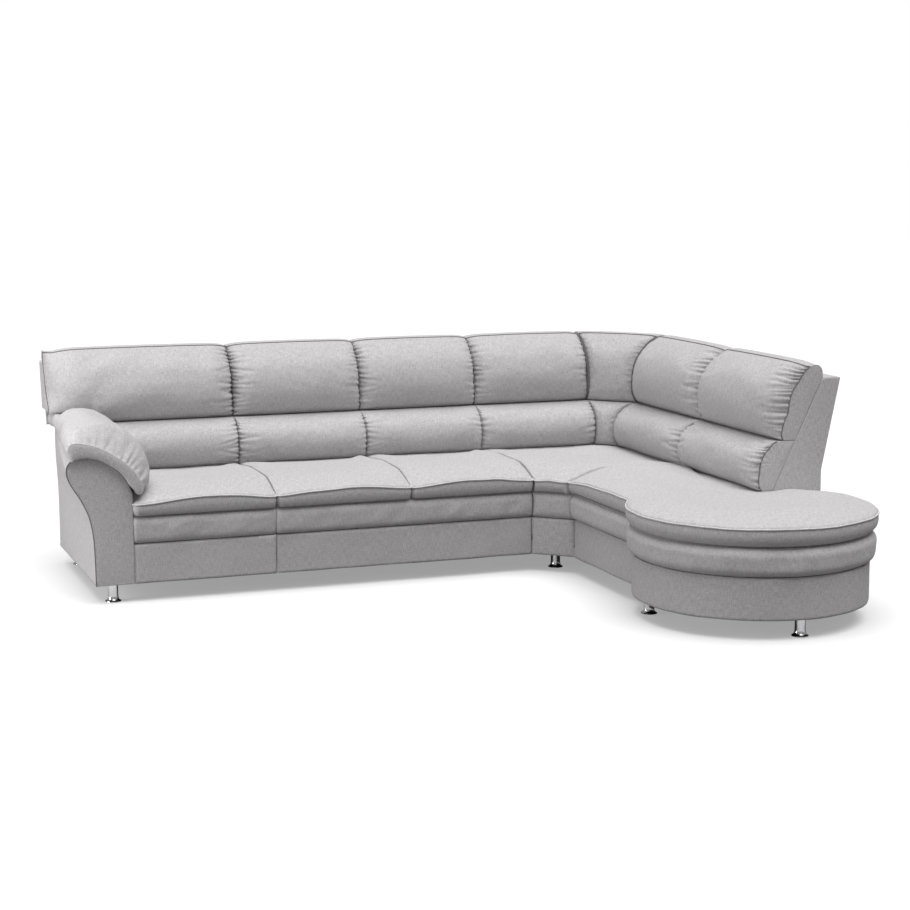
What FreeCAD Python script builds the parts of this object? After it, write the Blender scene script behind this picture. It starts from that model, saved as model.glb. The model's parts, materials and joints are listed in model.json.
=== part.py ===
"""Corner sofa: arm with a single seat, double seat, corner and a side wing with a round end.

Plan axes: X runs along the long side, from the arm to the corner. Y runs from the seat front
to the back. The design point is the foot of the arm's inner face at the seat front, and
everything is moved at export so that the origin is under the middle of the whole sofa.
"""

import FreeCAD, Part
import math
import os

# Plan sizes, in millimetres
SINGLE_WIDTH = 615.0
LEFT_SEAT_WIDTH = 608.0
RIGHT_SEAT_WIDTH = 577.0
CORNER_WIDTH = 980.0
MAIN_DEPTH = 937.0
CHAMFER_WIDTH = 145.0
CHAMFER_DEPTH = 133.0
WING_BACK_LENGTH = 702.0
ROUND_RADIUS = 480.0
ROUND_BEYOND_BACK = 225.0
ROUND_FROM_FRONT = 375.0
HOLLOW_RADIUS = 90.0
WEDGE_REACH = 388.0

# Heights
FOOT_HEIGHT = 80.0
PANEL_TOP = 250.0
ROLL_TOP = 367.0
PIPING_HEIGHT = 424.0
SEAT_HEIGHT = 456.0
SEAM_HEIGHT = 668.0
BACK_HEIGHT = 1003.0
BOARD_DROP = 73.0
RAKE_START = 535.0
RAKE = 80.0

# Arm
ARM_WIDTH = 160.0
ARM_FLARE = 112.0
ARM_TOP = 612.0
ARM_REAR_TOP = 640.0
ARM_REAR_FLARE = 8.0
ARM_FRAME_TOP = 470.0
ARM_WALL = 18.0
HEAD_OVER_ARM = 218.0
HEAD_LIFT_OVER_ARM = 48.0
ARM_ROLL_DROP = 172.0

# Cushion on the arm
PAD_RISE = 92.0
PAD_CROWN = 76.0
PAD_OVERHANG = 45.0
PAD_DROP = 144.0
PAD_LEAN = 50.0
PAD_REAR = 70.0
PAD_FRONT = 30.0

# Material thicknesses and clearances
BOARD = 22.0
PANEL = 14.0
SKIN = 6.0
LINING = 1.5
BELT = 3.0
BELT_WIDTH = 50.0
BELT_PITCH = 98.0
GAP = 0.3
SIDE_GAP = 1.0
ROLL_DEPTH = 110.0
ROLL_SWELL = 14.0
SEAT_OVERHANG = 26.0
BLOCK_SIDE = 90.0
BLOCK_HEIGHT = 45.0
RAIL_HEIGHT = 70.0
RAIL_SETBACK = 2.0
PANEL_ROUNDING = 3.0
SEAT_CORNER = 22.0
ROLL_CORNER = 12.0
PANEL_CORNER = 4.0

# Back section, as distances from the rear plane
FRAME_FOOT_DEPTH = 276.0
FRAME_TOP_DEPTH = 5.0
LUMBAR_DEPTH = 344.0
SEAM_DEPTH = 228.0
HEAD_DEPTH = 256.0
HEAD_TOP_DEPTH = 120.0
HEAD_FOLD = 106.0
SIDE_DRAW = 24.0
WEDGE_DRAW = 8.0
ARC_PARTS = 3

# Feet
FOOT_RADIUS = 21.0
PLATE_RADIUS = 34.0
PLATE_HEIGHT = 14.0
PLATE_EDGE = 4.0
STUD_RADIUS = 5.0
STUD_RISE = 34.0
FOOT_INSET = 64.0
CORNER_FOOT_INSET = 58.0
JOINT_FOOT_SHIFT = 4.5
WING_FOOT_SHIFT = 140.0
WING_FOOT_INSET = 70.0

# Plates that hook the sections and the arm together
PLATE_WIDTH = 44.0
PLATE_LENGTH = 96.0
PLATE_THICKNESS = 3.0
TAB_WIDTH = 20.0
TAB_HEIGHT = 8.0
JOINT_HEIGHT = 165.0
JOINT_INSET = 190.0

# Places worked out from the sizes above
X_ARM = 0.0
X_SINGLE = SINGLE_WIDTH
X_DOUBLE_SEAM = X_SINGLE + LEFT_SEAT_WIDTH
X_CORNER = X_DOUBLE_SEAM + RIGHT_SEAT_WIDTH
X_REAR = X_CORNER + CORNER_WIDTH
X_WING = X_CORNER + CHAMFER_WIDTH
Y_REAR = MAIN_DEPTH
Y_WING = -CHAMFER_DEPTH
Y_END = Y_WING - WING_BACK_LENGTH
ROUND_X = X_WING + ROUND_FROM_FRONT
ROUND_Y = Y_END - ROUND_BEYOND_BACK
X_WEDGE = X_REAR - WEDGE_REACH
Y_WEDGE = Y_REAR - WEDGE_REACH
PANEL_MIDDLE = (FOOT_HEIGHT + PANEL_TOP) / 2
BOARD_TOP = BACK_HEIGHT - BOARD_DROP
HEAD_OVER_ARM_HEIGHT = SEAM_HEIGHT + HEAD_LIFT_OVER_ARM
FRAME_BASE = PANEL_TOP - BELT
FRAME_TOP = BOARD_TOP - SKIN
BOARD_BASE = FOOT_HEIGHT + LINING
SEAT_BACK_DEPTH = FRAME_FOOT_DEPTH + SKIN
LUMBAR_BASE = SEAT_HEIGHT + GAP

HEAD_X_LEFT = X_ARM - HEAD_OVER_ARM
ROUND_FRONT = ROUND_Y - ROUND_RADIUS - SEAT_OVERHANG
X_LEFT = X_ARM - ARM_WIDTH - ARM_FLARE
ORIGIN_X = (X_LEFT + X_REAR + RAKE) / 2
ORIGIN_Y = (ROUND_FRONT + Y_REAR + RAKE) / 2
FRAME_FRONT = PANEL + GAP
SEAT_RAIL_Y = Y_REAR - FRAME_FOOT_DEPTH
SEAT_RAIL_X = X_REAR - FRAME_FOOT_DEPTH
SEAT_BACK_Y = Y_REAR - SEAT_BACK_DEPTH
JOINT = SIDE_GAP / 2

# Places of the feet
REAR_FOOT_Y = Y_REAR - FOOT_INSET
REAR_FOOT_X = X_REAR - FOOT_INSET
ARM_FEET = [(X_ARM - ARM_WIDTH / 2, FOOT_INSET), (X_ARM - ARM_WIDTH / 2, REAR_FOOT_Y)]
DOUBLE_FEET = [(X_DOUBLE_SEAM, REAR_FOOT_Y)]
CORNER_FEET = [
    (X_WING - JOINT_FOOT_SHIFT, CORNER_FOOT_INSET),
    (X_CORNER + 2 * FOOT_INSET, REAR_FOOT_Y),
    (REAR_FOOT_X, REAR_FOOT_Y),
]
WING_FEET = [
    (X_WING - 2 * JOINT_FOOT_SHIFT, ROUND_Y + WING_FOOT_SHIFT),
    (ROUND_X, ROUND_Y - ROUND_RADIUS + WING_FOOT_INSET),
    (REAR_FOOT_X, Y_END + WING_FOOT_INSET + PLATE_RADIUS),
    (REAR_FOOT_X, Y_WING - WING_FOOT_INSET - PLATE_RADIUS),
]
ALL_FEET = ARM_FEET + DOUBLE_FEET + CORNER_FEET + WING_FEET


def vector(x, y, z=0.0):
    return FreeCAD.Vector(x, y, z)


def box(x0, x1, y0, y1, z0, z1):
    """A block between two corners."""
    return Part.makeBox(x1 - x0, y1 - y0, z1 - z0, vector(x0, y0, z0))


def outline(place, start, *steps):
    """Closed wire of lines, where a step is (point,), and arcs, where it is (middle, point)."""
    edges = []
    here = place(*start)
    first = here
    for step in steps:
        there = place(*step[-1])
        if len(step) == 1:
            edges.append(Part.LineSegment(here, there).toShape())
        else:
            edges.append(Part.Arc(here, place(*step[0]), there).toShape())
        here = there
    if here.distanceToPoint(first) > 1e-6:
        edges.append(Part.LineSegment(here, first).toShape())
    return Part.Wire(edges)


def sampled(start, *steps):
    """Points along lines and arcs, with each arc cut into a few straight parts."""
    points = [start]
    for step in steps:
        if len(step) == 1:
            points.append(step[0])
            continue
        arc = Part.Arc(vector(*points[-1]), vector(*step[0]), vector(*step[1])).toShape()
        points += [(p.x, p.y) for p in arc.discretize(ARC_PARTS + 1)[1:]]
    return points


def section(place, points):
    """Closed wire of straight lines through placed points."""
    corners = [place(*point) for point in points]
    return Part.makePolygon(corners + corners[:1])


def prism(wire, direction):
    """A solid swept straight from a closed flat wire."""
    return Part.Face(wire).extrude(direction)


def level(z):
    """Place plan points at a height."""
    return lambda x, y: vector(x, y, z)


def blended(wires):
    """A solid through closed wires that have the same edges, straight from one to the next."""
    body = Part.makeLoft(wires, True, True)
    if body.Volume < 0:
        body.reverse()
    return body


def flat_sided(first, last):
    """A solid between two polygons whose edges run side by side."""
    a = [corner.Point for corner in first.OrderedVertexes]
    b = [corner.Point for corner in last.OrderedVertexes]
    faces = [Part.Face(first), Part.Face(last)]
    for i in range(len(a)):
        j = (i + 1) % len(a)
        faces.append(Part.Face(Part.makePolygon([a[i], a[j], b[j], b[i], a[i]])))
    body = Part.makeSolid(Part.makeShell(faces))
    if body.Volume < 0:
        body.reverse()
    return body


def rounded(points, radii):
    """Start and steps of a plan polygon whose corners have their own radii."""
    steps = []
    count = len(points)
    for i, corner in enumerate(points):
        before = points[i - 1]
        after = points[(i + 1) % count]
        radius = radii[i]
        if radius == 0:
            steps.append((corner,))
            continue
        p = vector(*corner)
        a = (vector(*before) - p).normalize()
        b = (vector(*after) - p).normalize()
        half = a.getAngle(b) / 2
        reach = radius / math.tan(half)
        middle = (a + b).normalize() * (radius / math.sin(half) - radius)
        first = p + a * reach
        last = p + b * reach
        middle = p + middle
        steps.append(((first.x, first.y),))
        steps.append(((middle.x, middle.y), (last.x, last.y)))
    start = steps[-1][-1]
    return start, steps


def single_plan(x0, x1, back, corner):
    """Plan of a straight piece, drawn in at its front and sides by an amount."""

    def plan(inset, side):
        left = x0 + side
        right = x1 - side
        points = [(left, back), (left, inset), (right, inset), (right, back)]
        return rounded(points, [0, corner, corner, 0])

    return plan


def offset_line(p, q, inset):
    """The line from p to q, moved to its left by the inset."""
    length = math.hypot(q[0] - p[0], q[1] - p[1])
    nx = -(q[1] - p[1]) / length * inset
    ny = (q[0] - p[0]) / length * inset
    return (p[0] + nx, p[1] + ny), (q[0] + nx, q[1] + ny)


def at_x(p, q, x):
    """The point of a line at one X."""
    return x, p[1] + (q[1] - p[1]) * (x - p[0]) / (q[0] - p[0])


def at_y(p, q, y):
    """The point of a line at one Y."""
    return p[0] + (q[0] - p[0]) * (y - p[1]) / (q[1] - p[1]), y


def corner_front(inset, side):
    """Ends of the corner's slanted front, moved inwards."""
    p, q = offset_line((X_CORNER, 0.0), (X_WING, Y_WING), inset)
    return at_x(p, q, X_CORNER + side), at_y(p, q, Y_WING + side)


def corner_plan(rear):
    """Plan of the corner seat, with its rear at a distance from the rear planes."""

    def plan(inset, side):
        first, last = corner_front(inset, side)
        x_back = X_REAR - rear
        y_back = Y_REAR - rear
        points = [first, last, (x_back, Y_WING + side), (x_back, Y_WEDGE)]
        points += [(X_WEDGE, y_back), (X_CORNER + side, y_back)]
        return points[0], [(point,) for point in points[1:] + points[:1]]

    return plan


def corner_base_plan(inset, side):
    """Plan of the corner's base, whose rear corner is square."""
    first, last = corner_front(inset, side)
    rear = (X_REAR - SKIN, Y_REAR - SKIN)
    points = [first, last, (rear[0], Y_WING + side), rear, (X_CORNER + side, rear[1])]
    return points[0], [(point,) for point in points[1:] + points[:1]]


def wing_front(inset, top):
    """Start and steps of the wing's front edge, from the corner round to the open end.

    The straight front meets the round end in a hollow, whose centre stays where it is.
    """
    radius = ROUND_RADIUS - inset
    hollow = HOLLOW_RADIUS + inset
    x_front = X_WING + inset
    hollow_x = X_WING - HOLLOW_RADIUS
    reach = ROUND_RADIUS + HOLLOW_RADIUS
    hollow_y = ROUND_Y + math.sqrt(reach**2 - (hollow_x - ROUND_X) ** 2)
    turn = math.atan2(hollow_y - ROUND_Y, hollow_x - ROUND_X)

    def on_round(angle):
        return ROUND_X + radius * math.cos(angle), ROUND_Y + radius * math.sin(angle)

    def on_hollow(angle):
        return hollow_x + hollow * math.cos(angle), hollow_y + hollow * math.sin(angle)

    steps = [((x_front, hollow_y),)]
    steps.append((on_hollow((turn - math.pi) / 2), on_round(turn)))
    angles = [turn, math.radians(220), math.radians(300), 2 * math.pi]
    for a, b in zip(angles, angles[1:]):
        steps.append((on_round((a + b) / 2), on_round(b)))
    return (x_front, top), steps


def wing_seat_plan(rear, stop):
    """Plan of the wing's seat: in front of the back, then the full round end."""

    def plan(inset, side):
        start, steps = wing_front(inset, Y_WING - side)
        radius = ROUND_RADIUS - inset
        end_x = ROUND_X + math.sqrt(radius**2 - (stop - ROUND_Y) ** 2)
        angle = math.asin((stop - ROUND_Y) / radius)
        middle = (
            ROUND_X + radius * math.cos(angle / 2),
            ROUND_Y + radius * math.sin(angle / 2),
        )
        x_back = X_REAR - rear
        steps.append((middle, (end_x, stop)))
        steps.append(((x_back, stop),))
        steps.append(((x_back, Y_WING - side),))
        return start, steps

    return plan


def wing_base_plan(inset, side):
    """Plan of the wing's whole base, drawn in all round."""
    start, steps = wing_front(inset, Y_WING - side)
    steps.append(((X_REAR - inset, Y_END),))
    steps.append(((X_REAR - inset, Y_WING - side),))
    return start, steps


def layered(plan, layers):
    """A soft solid through plan outlines, given as (height, front inset, side inset)."""
    wires = []
    for z, inset, side in layers:
        start, steps = plan(inset, side)
        wires.append(outline(level(z), start, *steps))
    return blended(wires)


def slab(plan, inset, side, z0, z1):
    """A flat solid of one plan outline."""
    start, steps = plan(inset, side)
    return prism(outline(level(z0), start, *steps), vector(0, 0, z1 - z0))


def seat_layers():
    """Heights and insets of a seat cushion: a soft edge, the piping, then the crown."""
    rise = SEAT_HEIGHT - PIPING_HEIGHT
    lip = -SEAT_OVERHANG
    return [
        (ROLL_TOP + GAP, lip + 18, 7.0),
        (ROLL_TOP + 20, lip + 3, 2.0),
        (PIPING_HEIGHT - 20, lip, SIDE_GAP),
        (PIPING_HEIGHT, lip + 5, 3.0),
        (PIPING_HEIGHT + rise * 0.5, lip + 42, 30.0),
        (PIPING_HEIGHT + rise * 0.85, lip + 100, 82.0),
        (SEAT_HEIGHT, lip + 210, 170.0),
    ]


def panel_layers(side):
    """Heights and insets of a padded front panel, softer at its lower and upper edges."""
    soft = PANEL_ROUNDING
    return [(FOOT_HEIGHT, soft, side), (PANEL_MIDDLE, 0.0, side), (PANEL_TOP, soft, side)]


def roll_layers():
    """Heights and insets of the padded roll under a seat cushion."""
    height = ROLL_TOP - PANEL_TOP
    return [
        (PANEL_TOP + GAP, 10.0, SIDE_GAP),
        (PANEL_TOP + height * 0.18, -ROLL_SWELL * 0.5, SIDE_GAP),
        (PANEL_TOP + height * 0.5, -ROLL_SWELL, SIDE_GAP),
        (PANEL_TOP + height * 0.82, -ROLL_SWELL * 0.5, SIDE_GAP),
        (ROLL_TOP, 10.0, SIDE_GAP),
    ]


def frame_depth(z):
    """Distance of the back frame's front from the rear plane."""
    drop = (z - ROLL_TOP) / (BOARD_TOP - ROLL_TOP)
    return FRAME_FOOT_DEPTH + (FRAME_TOP_DEPTH - FRAME_FOOT_DEPTH) * drop


def inner_depth(z):
    """Distance of the rear cover's inner face from the rear plane."""
    if z <= RAKE_START:
        return SKIN
    return SKIN - RAKE * (z - RAKE_START) / (FRAME_TOP - RAKE_START)


def main_back(x):
    """Place back-section points (depth, height) in the long side."""
    return lambda d, z: vector(x, Y_REAR - d, z)


def wing_back(y):
    """Place back-section points in the side that runs forward from the corner."""
    return lambda d, z: vector(X_REAR - d, y, z)


def wedge_back(share):
    """Place back-section points across the corner, from the long side (0) to the other (1)."""

    def place(d, z):
        a = vector(X_WEDGE, Y_REAR - d, z)
        b = vector(X_REAR - d, Y_WEDGE, z)
        return a + (b - a) * share

    return place


def lumbar_wire(place, draw):
    """Section of a lower back cushion, drawn in towards its frame."""
    foot = LUMBAR_BASE
    rise = SEAM_HEIGHT - foot
    front = LUMBAR_DEPTH - draw
    bulge = LUMBAR_DEPTH - SEAM_DEPTH
    points = sampled(
        (frame_depth(foot) + GAP, foot),
        ((front - 0.22 * bulge, foot),),
        ((front, foot + 0.37 * rise), (front - 0.345 * bulge, SEAM_HEIGHT - 0.21 * rise)),
        ((front - 0.6 * bulge, SEAM_HEIGHT - 0.06 * rise), (front - bulge, SEAM_HEIGHT)),
        ((frame_depth(SEAM_HEIGHT) + GAP, SEAM_HEIGHT),),
    )
    return section(place, points)


def head_wire(place, draw, foot):
    """Section of an upper back cushion, which folds over the top of the board."""
    rise = BACK_HEIGHT - SEAM_HEIGHT
    middle = SEAM_HEIGHT + 0.39 * rise
    front = HEAD_DEPTH - draw
    top = HEAD_TOP_DEPTH - draw
    lean = HEAD_DEPTH - HEAD_TOP_DEPTH
    points = sampled(
        (frame_depth(foot) + GAP, foot),
        ((SEAM_DEPTH - draw, foot),),
        ((front - 0.02 * lean, foot + 0.35 * (middle - foot)), (front - 0.06 * lean, middle)),
        ((front - 0.38 * lean, BACK_HEIGHT - 0.285 * rise), (top, BACK_HEIGHT - 0.06 * rise)),
        ((top - HEAD_FOLD / 2, BACK_HEIGHT), (top - HEAD_FOLD, BACK_HEIGHT - 0.115 * rise)),
        ((FRAME_TOP_DEPTH + GAP, BOARD_TOP + 3 * GAP),),
    )
    return section(place, points)


def stations(start, end, place):
    """Places along a cushion with how far each is drawn in, deepest at its two seams."""
    width = end - start
    shares = [(0.0, 1.0), (0.06, 0.42), (0.25, 0.06), (0.75, 0.06), (0.94, 0.42), (1.0, 1.0)]
    inner = width - 2 * SIDE_GAP * (1 if width > 0 else -1)
    first = start + SIDE_GAP * (1 if width > 0 else -1)
    return [(place(first + inner * share), SIDE_DRAW * draw) for share, draw in shares]


def lumbar_cushion(start, end, place):
    return blended([lumbar_wire(spot, draw) for spot, draw in stations(start, end, place)])


def head_cushion(start, end, place):
    foot = SEAM_HEIGHT + GAP
    return blended([head_wire(spot, draw, foot) for spot, draw in stations(start, end, place)])


def head_cushion_over_arm():
    """The first upper cushion: it runs on over the arm, where its lower edge is higher."""
    high = HEAD_OVER_ARM_HEIGHT + GAP
    low = SEAM_HEIGHT + GAP
    over = [(HEAD_X_LEFT, 1.0), (HEAD_X_LEFT / 2, 0.15), (X_ARM, 0.35)]
    arm_side = blended([head_wire(main_back(x), SIDE_DRAW * d, high) for x, d in over])
    end = X_SINGLE - SIDE_GAP
    seat = [(X_ARM, 0.35), (0.3 * end, 0.06), (0.75 * end, 0.06), (0.94 * end, 0.42), (end, 1.0)]
    seat_side = blended([head_wire(main_back(x), SIDE_DRAW * d, low) for x, d in seat])
    return arm_side.fuse(seat_side).removeSplitter()


def wedge_cushions():
    """The two cushions that cross the corner at a slant, drawn in evenly."""
    ends = [wedge_back(0.004), wedge_back(0.996)]
    low = [lumbar_wire(end, WEDGE_DRAW) for end in ends]
    high = [head_wire(end, WEDGE_DRAW, SEAM_HEIGHT + GAP) for end in ends]
    return flat_sided(*low), flat_sided(*high)


def upright(place, direction):
    """A wedge-shaped board of the back frame."""
    wire = outline(
        place,
        (SKIN, FRAME_BASE),
        ((SKIN, RAKE_START),),
        ((inner_depth(FRAME_TOP), FRAME_TOP),),
        ((frame_depth(FRAME_TOP) - SKIN, FRAME_TOP),),
        ((FRAME_FOOT_DEPTH - SKIN, ROLL_TOP),),
        ((FRAME_FOOT_DEPTH - SKIN, FRAME_BASE),),
    )
    return prism(wire, direction)


def short_upright(place, direction, z0):
    """The upper part of an upright, above a height."""
    wire = outline(
        place,
        (inner_depth(z0), z0),
        ((inner_depth(FRAME_TOP), FRAME_TOP),),
        ((frame_depth(FRAME_TOP) - SKIN, FRAME_TOP),),
        ((frame_depth(z0) - SKIN, z0),),
    )
    return prism(wire, direction)


def rail(place, direction, z0, z1):
    """A rail between uprights, close behind the rear cover."""
    wire = outline(
        place,
        (inner_depth(z0) + RAIL_SETBACK, z0),
        ((inner_depth(z1) + RAIL_SETBACK, z1),),
        ((inner_depth(z1) + RAIL_SETBACK + BOARD, z1),),
        ((inner_depth(z0) + RAIL_SETBACK + BOARD, z0),),
    )
    return prism(wire, direction)


def front_board(place, direction, z0):
    """The thin board that the back cushions lie on."""
    wire = outline(
        place,
        (frame_depth(z0) - SKIN, z0),
        ((frame_depth(z0), z0),),
        ((frame_depth(FRAME_TOP), FRAME_TOP),),
        ((frame_depth(FRAME_TOP) - SKIN, FRAME_TOP),),
    )
    return prism(wire, direction)


def frame_rails(place, span):
    """The lower, waist and top rails of a back frame."""
    return [
        rail(place, span, FRAME_BASE, FRAME_BASE + RAIL_HEIGHT),
        rail(place, span, RAKE_START - RAIL_HEIGHT, RAKE_START),
        rail(place, span, FRAME_TOP - RAIL_HEIGHT, FRAME_TOP),
    ]


def rear_cover_wire(place, z0):
    """Section of the upholstered rear, which turns over the top of the frame."""
    if z0 < RAKE_START:
        low = [(0.0, z0), (0.0, RAKE_START)]
        back = [(SKIN, RAKE_START), (SKIN, z0)]
    else:
        low = [(inner_depth(z0) - SKIN, z0)]
        back = [(inner_depth(z0), z0)]
    points = low + [(-RAKE, BOARD_TOP), (FRAME_TOP_DEPTH, BOARD_TOP)]
    points += [(FRAME_TOP_DEPTH, FRAME_TOP), (inner_depth(FRAME_TOP), FRAME_TOP)] + back
    return outline(place, points[0], *[(point,) for point in points[1:]])


def base_boards(x0, x1, y0, y1):
    """Four rails of a rectangular base, butted at the corners."""
    z0 = BOARD_BASE
    z1 = FRAME_BASE
    return [
        box(x0, x1, y0, y0 + BOARD, z0, z1),
        box(x0, x1, y1 - BOARD, y1, z0, z1),
        box(x0, x0 + BOARD, y0 + BOARD, y1 - BOARD, z0, z1),
        box(x1 - BOARD, x1, y0 + BOARD, y1 - BOARD, z0, z1),
    ]


def with_blocks(boards, feet, beside=()):
    """Boards with the glued blocks that the feet screw into, fitted against what is there."""
    half = BLOCK_SIDE / 2
    top = BOARD_BASE + BLOCK_HEIGHT
    blocks = []
    for x, y in feet:
        body = box(x - half, x + half, y - half, y + half, BOARD_BASE, top)
        ring = Part.makePolygon([vector(*point) for point in hexagon(x, y, STUD_RADIUS + GAP)])
        ring.translate(vector(0, 0, BOARD_BASE))
        hole = prism(Part.Wire(ring), vector(0, 0, BLOCK_HEIGHT))
        blocks.append(body.cut(boards + [hole, *beside]))
    return boards + blocks


def spread(start, end):
    """First edges of belts spread evenly between two places."""
    count = max(1, int((end - start - BELT_WIDTH) // BELT_PITCH) + 1)
    spare = (end - start) - (count - 1) * BELT_PITCH - BELT_WIDTH
    return [start + spare / 2 + i * BELT_PITCH for i in range(count)]


def belts_along_y(x0, x1, y0, y1):
    """Elastic belts from the front rail to the rear one."""
    return [box(x, x + BELT_WIDTH, y0, y1, FRAME_BASE, PANEL_TOP) for x in spread(x0, x1)]


def joint_places():
    """Centres of the plates between sections, and the direction across each joint."""
    along_x = vector(1, 0, 0)
    along_y = vector(0, 1, 0)
    places = []
    for x in (X_ARM, X_SINGLE, X_CORNER):
        for y in (JOINT_INSET, SEAT_RAIL_Y - JOINT_INSET):
            places.append((vector(x, y, JOINT_HEIGHT), along_x))
    for x in (X_WING + JOINT_INSET, SEAT_RAIL_X - JOINT_INSET):
        places.append((vector(x, Y_WING, JOINT_HEIGHT), along_y))
    return places


def across_joint(place, before, after, width, height):
    """A block that crosses a joint, from a distance before it to one after it."""
    centre, axis = place
    side = vector(axis.y, axis.x, 0)
    low = centre - axis * before - side * (width / 2) - vector(0, 0, height / 2)
    size = axis * (before + after) + side * width
    return Part.makeBox(size.x, size.y, height, low)


def pocketed(solids):
    """Solids with the pockets that the joint plates lie in."""
    deep = JOINT + PLATE_THICKNESS + GAP
    rooms = []
    for place in joint_places():
        width = PLATE_WIDTH + 2 * GAP
        length = PLATE_LENGTH + 2 * GAP
        rooms.append(across_joint(place, deep, deep, width, length))
    return [solid.cut(rooms) for solid in solids]


def joint_plates():
    """Pairs of plates: one has a tab, and the other a slot that the tab hooks into."""
    tabs = []
    slots = []
    half = GAP / 2
    outer = JOINT + PLATE_THICKNESS
    for place in joint_places():
        plate = across_joint(place, outer, -half, PLATE_WIDTH, PLATE_LENGTH)
        tab = across_joint(place, outer, outer, TAB_WIDTH, TAB_HEIGHT)
        tabs.append(plate.fuse(tab).removeSplitter())
        plate = across_joint(place, -half, outer, PLATE_WIDTH, PLATE_LENGTH)
        slot = across_joint(place, 0, 2 * outer, TAB_WIDTH + 2 * GAP, TAB_HEIGHT + 2 * GAP)
        slots.append(plate.cut(slot))
    return tabs, slots


def with_foot_holes(cloth, feet):
    """An underside cloth, cut away round each foot's tube."""
    holes = []
    half = FOOT_RADIUS + LINING
    for x, y in feet:
        hole = (x - half, x + half, y - half, y + half, FOOT_HEIGHT - LINING, BOARD_BASE + LINING)
        holes.append(box(*hole))
    return cloth.cut(holes) if holes else cloth


def base_nodes(prefix, boards, belts, cloth, feet, beside=()):
    """Base frame, belts and underside cloth of a section, by name."""
    return {
        prefix + "_base_frame": with_blocks(pocketed(boards), feet, beside),
        "seat_belts": belts,
        "underside_cloths": [with_foot_holes(cloth, feet)],
    }


def straight_back_frame(place, a, b, direction):
    """Uprights, rails and front board of a straight back, from a to b."""
    sign = 1 if b > a else -1
    inner = direction * (abs(b - a) - 2 * BOARD)
    frame = [upright(place(a), direction * BOARD)]
    frame.append(upright(place(b - sign * BOARD), direction * BOARD))
    frame += frame_rails(place(a + sign * BOARD), inner)
    frame.append(front_board(place(a), direction * abs(b - a), ROLL_TOP))
    return frame


def straight_section(prefix, x0, x1, feet):
    """Nodes that both straight sections have, by name."""
    a = x0 + JOINT
    b = x1 - JOINT
    panel = single_plan(a, b, PANEL, PANEL_CORNER)
    roll = single_plan(x0, x1, ROLL_DEPTH, ROLL_CORNER)
    boards = base_boards(a, b, FRAME_FRONT, Y_REAR - SKIN)
    seat_rail = (SEAT_RAIL_Y - BOARD, SEAT_RAIL_Y, BOARD_BASE, FRAME_BASE)
    boards.append(box(a + BOARD, b - BOARD, *seat_rail))
    cloth = box(a, b, FRAME_FRONT, Y_REAR - SKIN, FOOT_HEIGHT, BOARD_BASE)
    core = box(a, b, ROLL_DEPTH + GAP, SEAT_BACK_Y, PANEL_TOP + GAP, ROLL_TOP)
    cover = prism(rear_cover_wire(main_back(a), FOOT_HEIGHT), vector(b - a, 0, 0))
    nodes = base_nodes(prefix, boards, belts_along_y(a, b, FRAME_FRONT, SEAT_RAIL_Y), cloth, feet)
    nodes[prefix + "_front_panel"] = [layered(panel, panel_layers(0.0))]
    nodes[prefix + "_front_roll"] = [layered(roll, roll_layers())]
    nodes[prefix + "_seat_core"] = [core]
    nodes[prefix + "_back_frame"] = straight_back_frame(main_back, a, b, vector(1, 0, 0))
    nodes[prefix + "_rear_cover"] = [cover]
    return nodes


def seat_cushion(x0, x1):
    return layered(single_plan(x0, x1, SEAT_BACK_Y, SEAT_CORNER), seat_layers())


def single_section():
    """The seat beside the arm, whose upper back runs on over the arm."""
    nodes = straight_section("single", X_ARM, X_SINGLE, [])
    nodes["single_seat_cushion"] = [seat_cushion(X_ARM, X_SINGLE)]
    nodes["single_lumbar_cushion"] = [lumbar_cushion(X_ARM, X_SINGLE, main_back)]
    nodes["single_head_cushion"] = [head_cushion_over_arm()]
    left = HEAD_X_LEFT + PANEL
    z0 = HEAD_OVER_ARM_HEIGHT + GAP
    length = X_ARM - left
    along = vector(1, 0, 0)
    extension = [short_upright(main_back(left), along * BOARD, z0)]
    inner = along * (length - BOARD + JOINT)
    low = (z0, z0 + RAIL_HEIGHT)
    extension.append(rail(main_back(left + BOARD), inner, *low))
    extension.append(rail(main_back(left + BOARD), inner, FRAME_TOP - RAIL_HEIGHT, FRAME_TOP))
    extension.append(front_board(main_back(left), along * (length + JOINT), z0))
    nodes["single_back_frame"] += extension
    cover = rear_cover_wire(main_back(left), ARM_REAR_TOP + GAP)
    nodes["single_rear_cover"].append(prism(cover, along * (length + JOINT)))
    nodes["single_end_panel"] = [end_panel(main_back(HEAD_X_LEFT), along * PANEL, z0)]
    return nodes


def end_panel(place, direction, z0):
    """Upholstered board over the end of a back, from a height up."""
    foot = [(0.0, z0), (0.0, RAKE_START)] if z0 < RAKE_START else [(inner_depth(z0) - SKIN, z0)]
    points = foot + [(-RAKE, BOARD_TOP), (FRAME_TOP_DEPTH, BOARD_TOP)]
    if z0 < ROLL_TOP:
        points += [(FRAME_FOOT_DEPTH, ROLL_TOP), (FRAME_FOOT_DEPTH, z0)]
    else:
        points.append((frame_depth(z0), z0))
    return prism(outline(place, points[0], *[(point,) for point in points[1:]]), direction)


def double_section():
    """Two seats on one frame, with one front panel and roll."""
    nodes = straight_section("double", X_SINGLE, X_CORNER, DOUBLE_FEET)
    for name, left, right in (
        ("double_left", X_SINGLE, X_DOUBLE_SEAM),
        ("double_right", X_DOUBLE_SEAM, X_CORNER),
    ):
        nodes[name + "_seat_cushion"] = [seat_cushion(left, right)]
        nodes[name + "_lumbar_cushion"] = [lumbar_cushion(left, right, main_back)]
        nodes[name + "_head_cushion"] = [head_cushion(left, right, main_back)]
    return nodes


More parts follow.
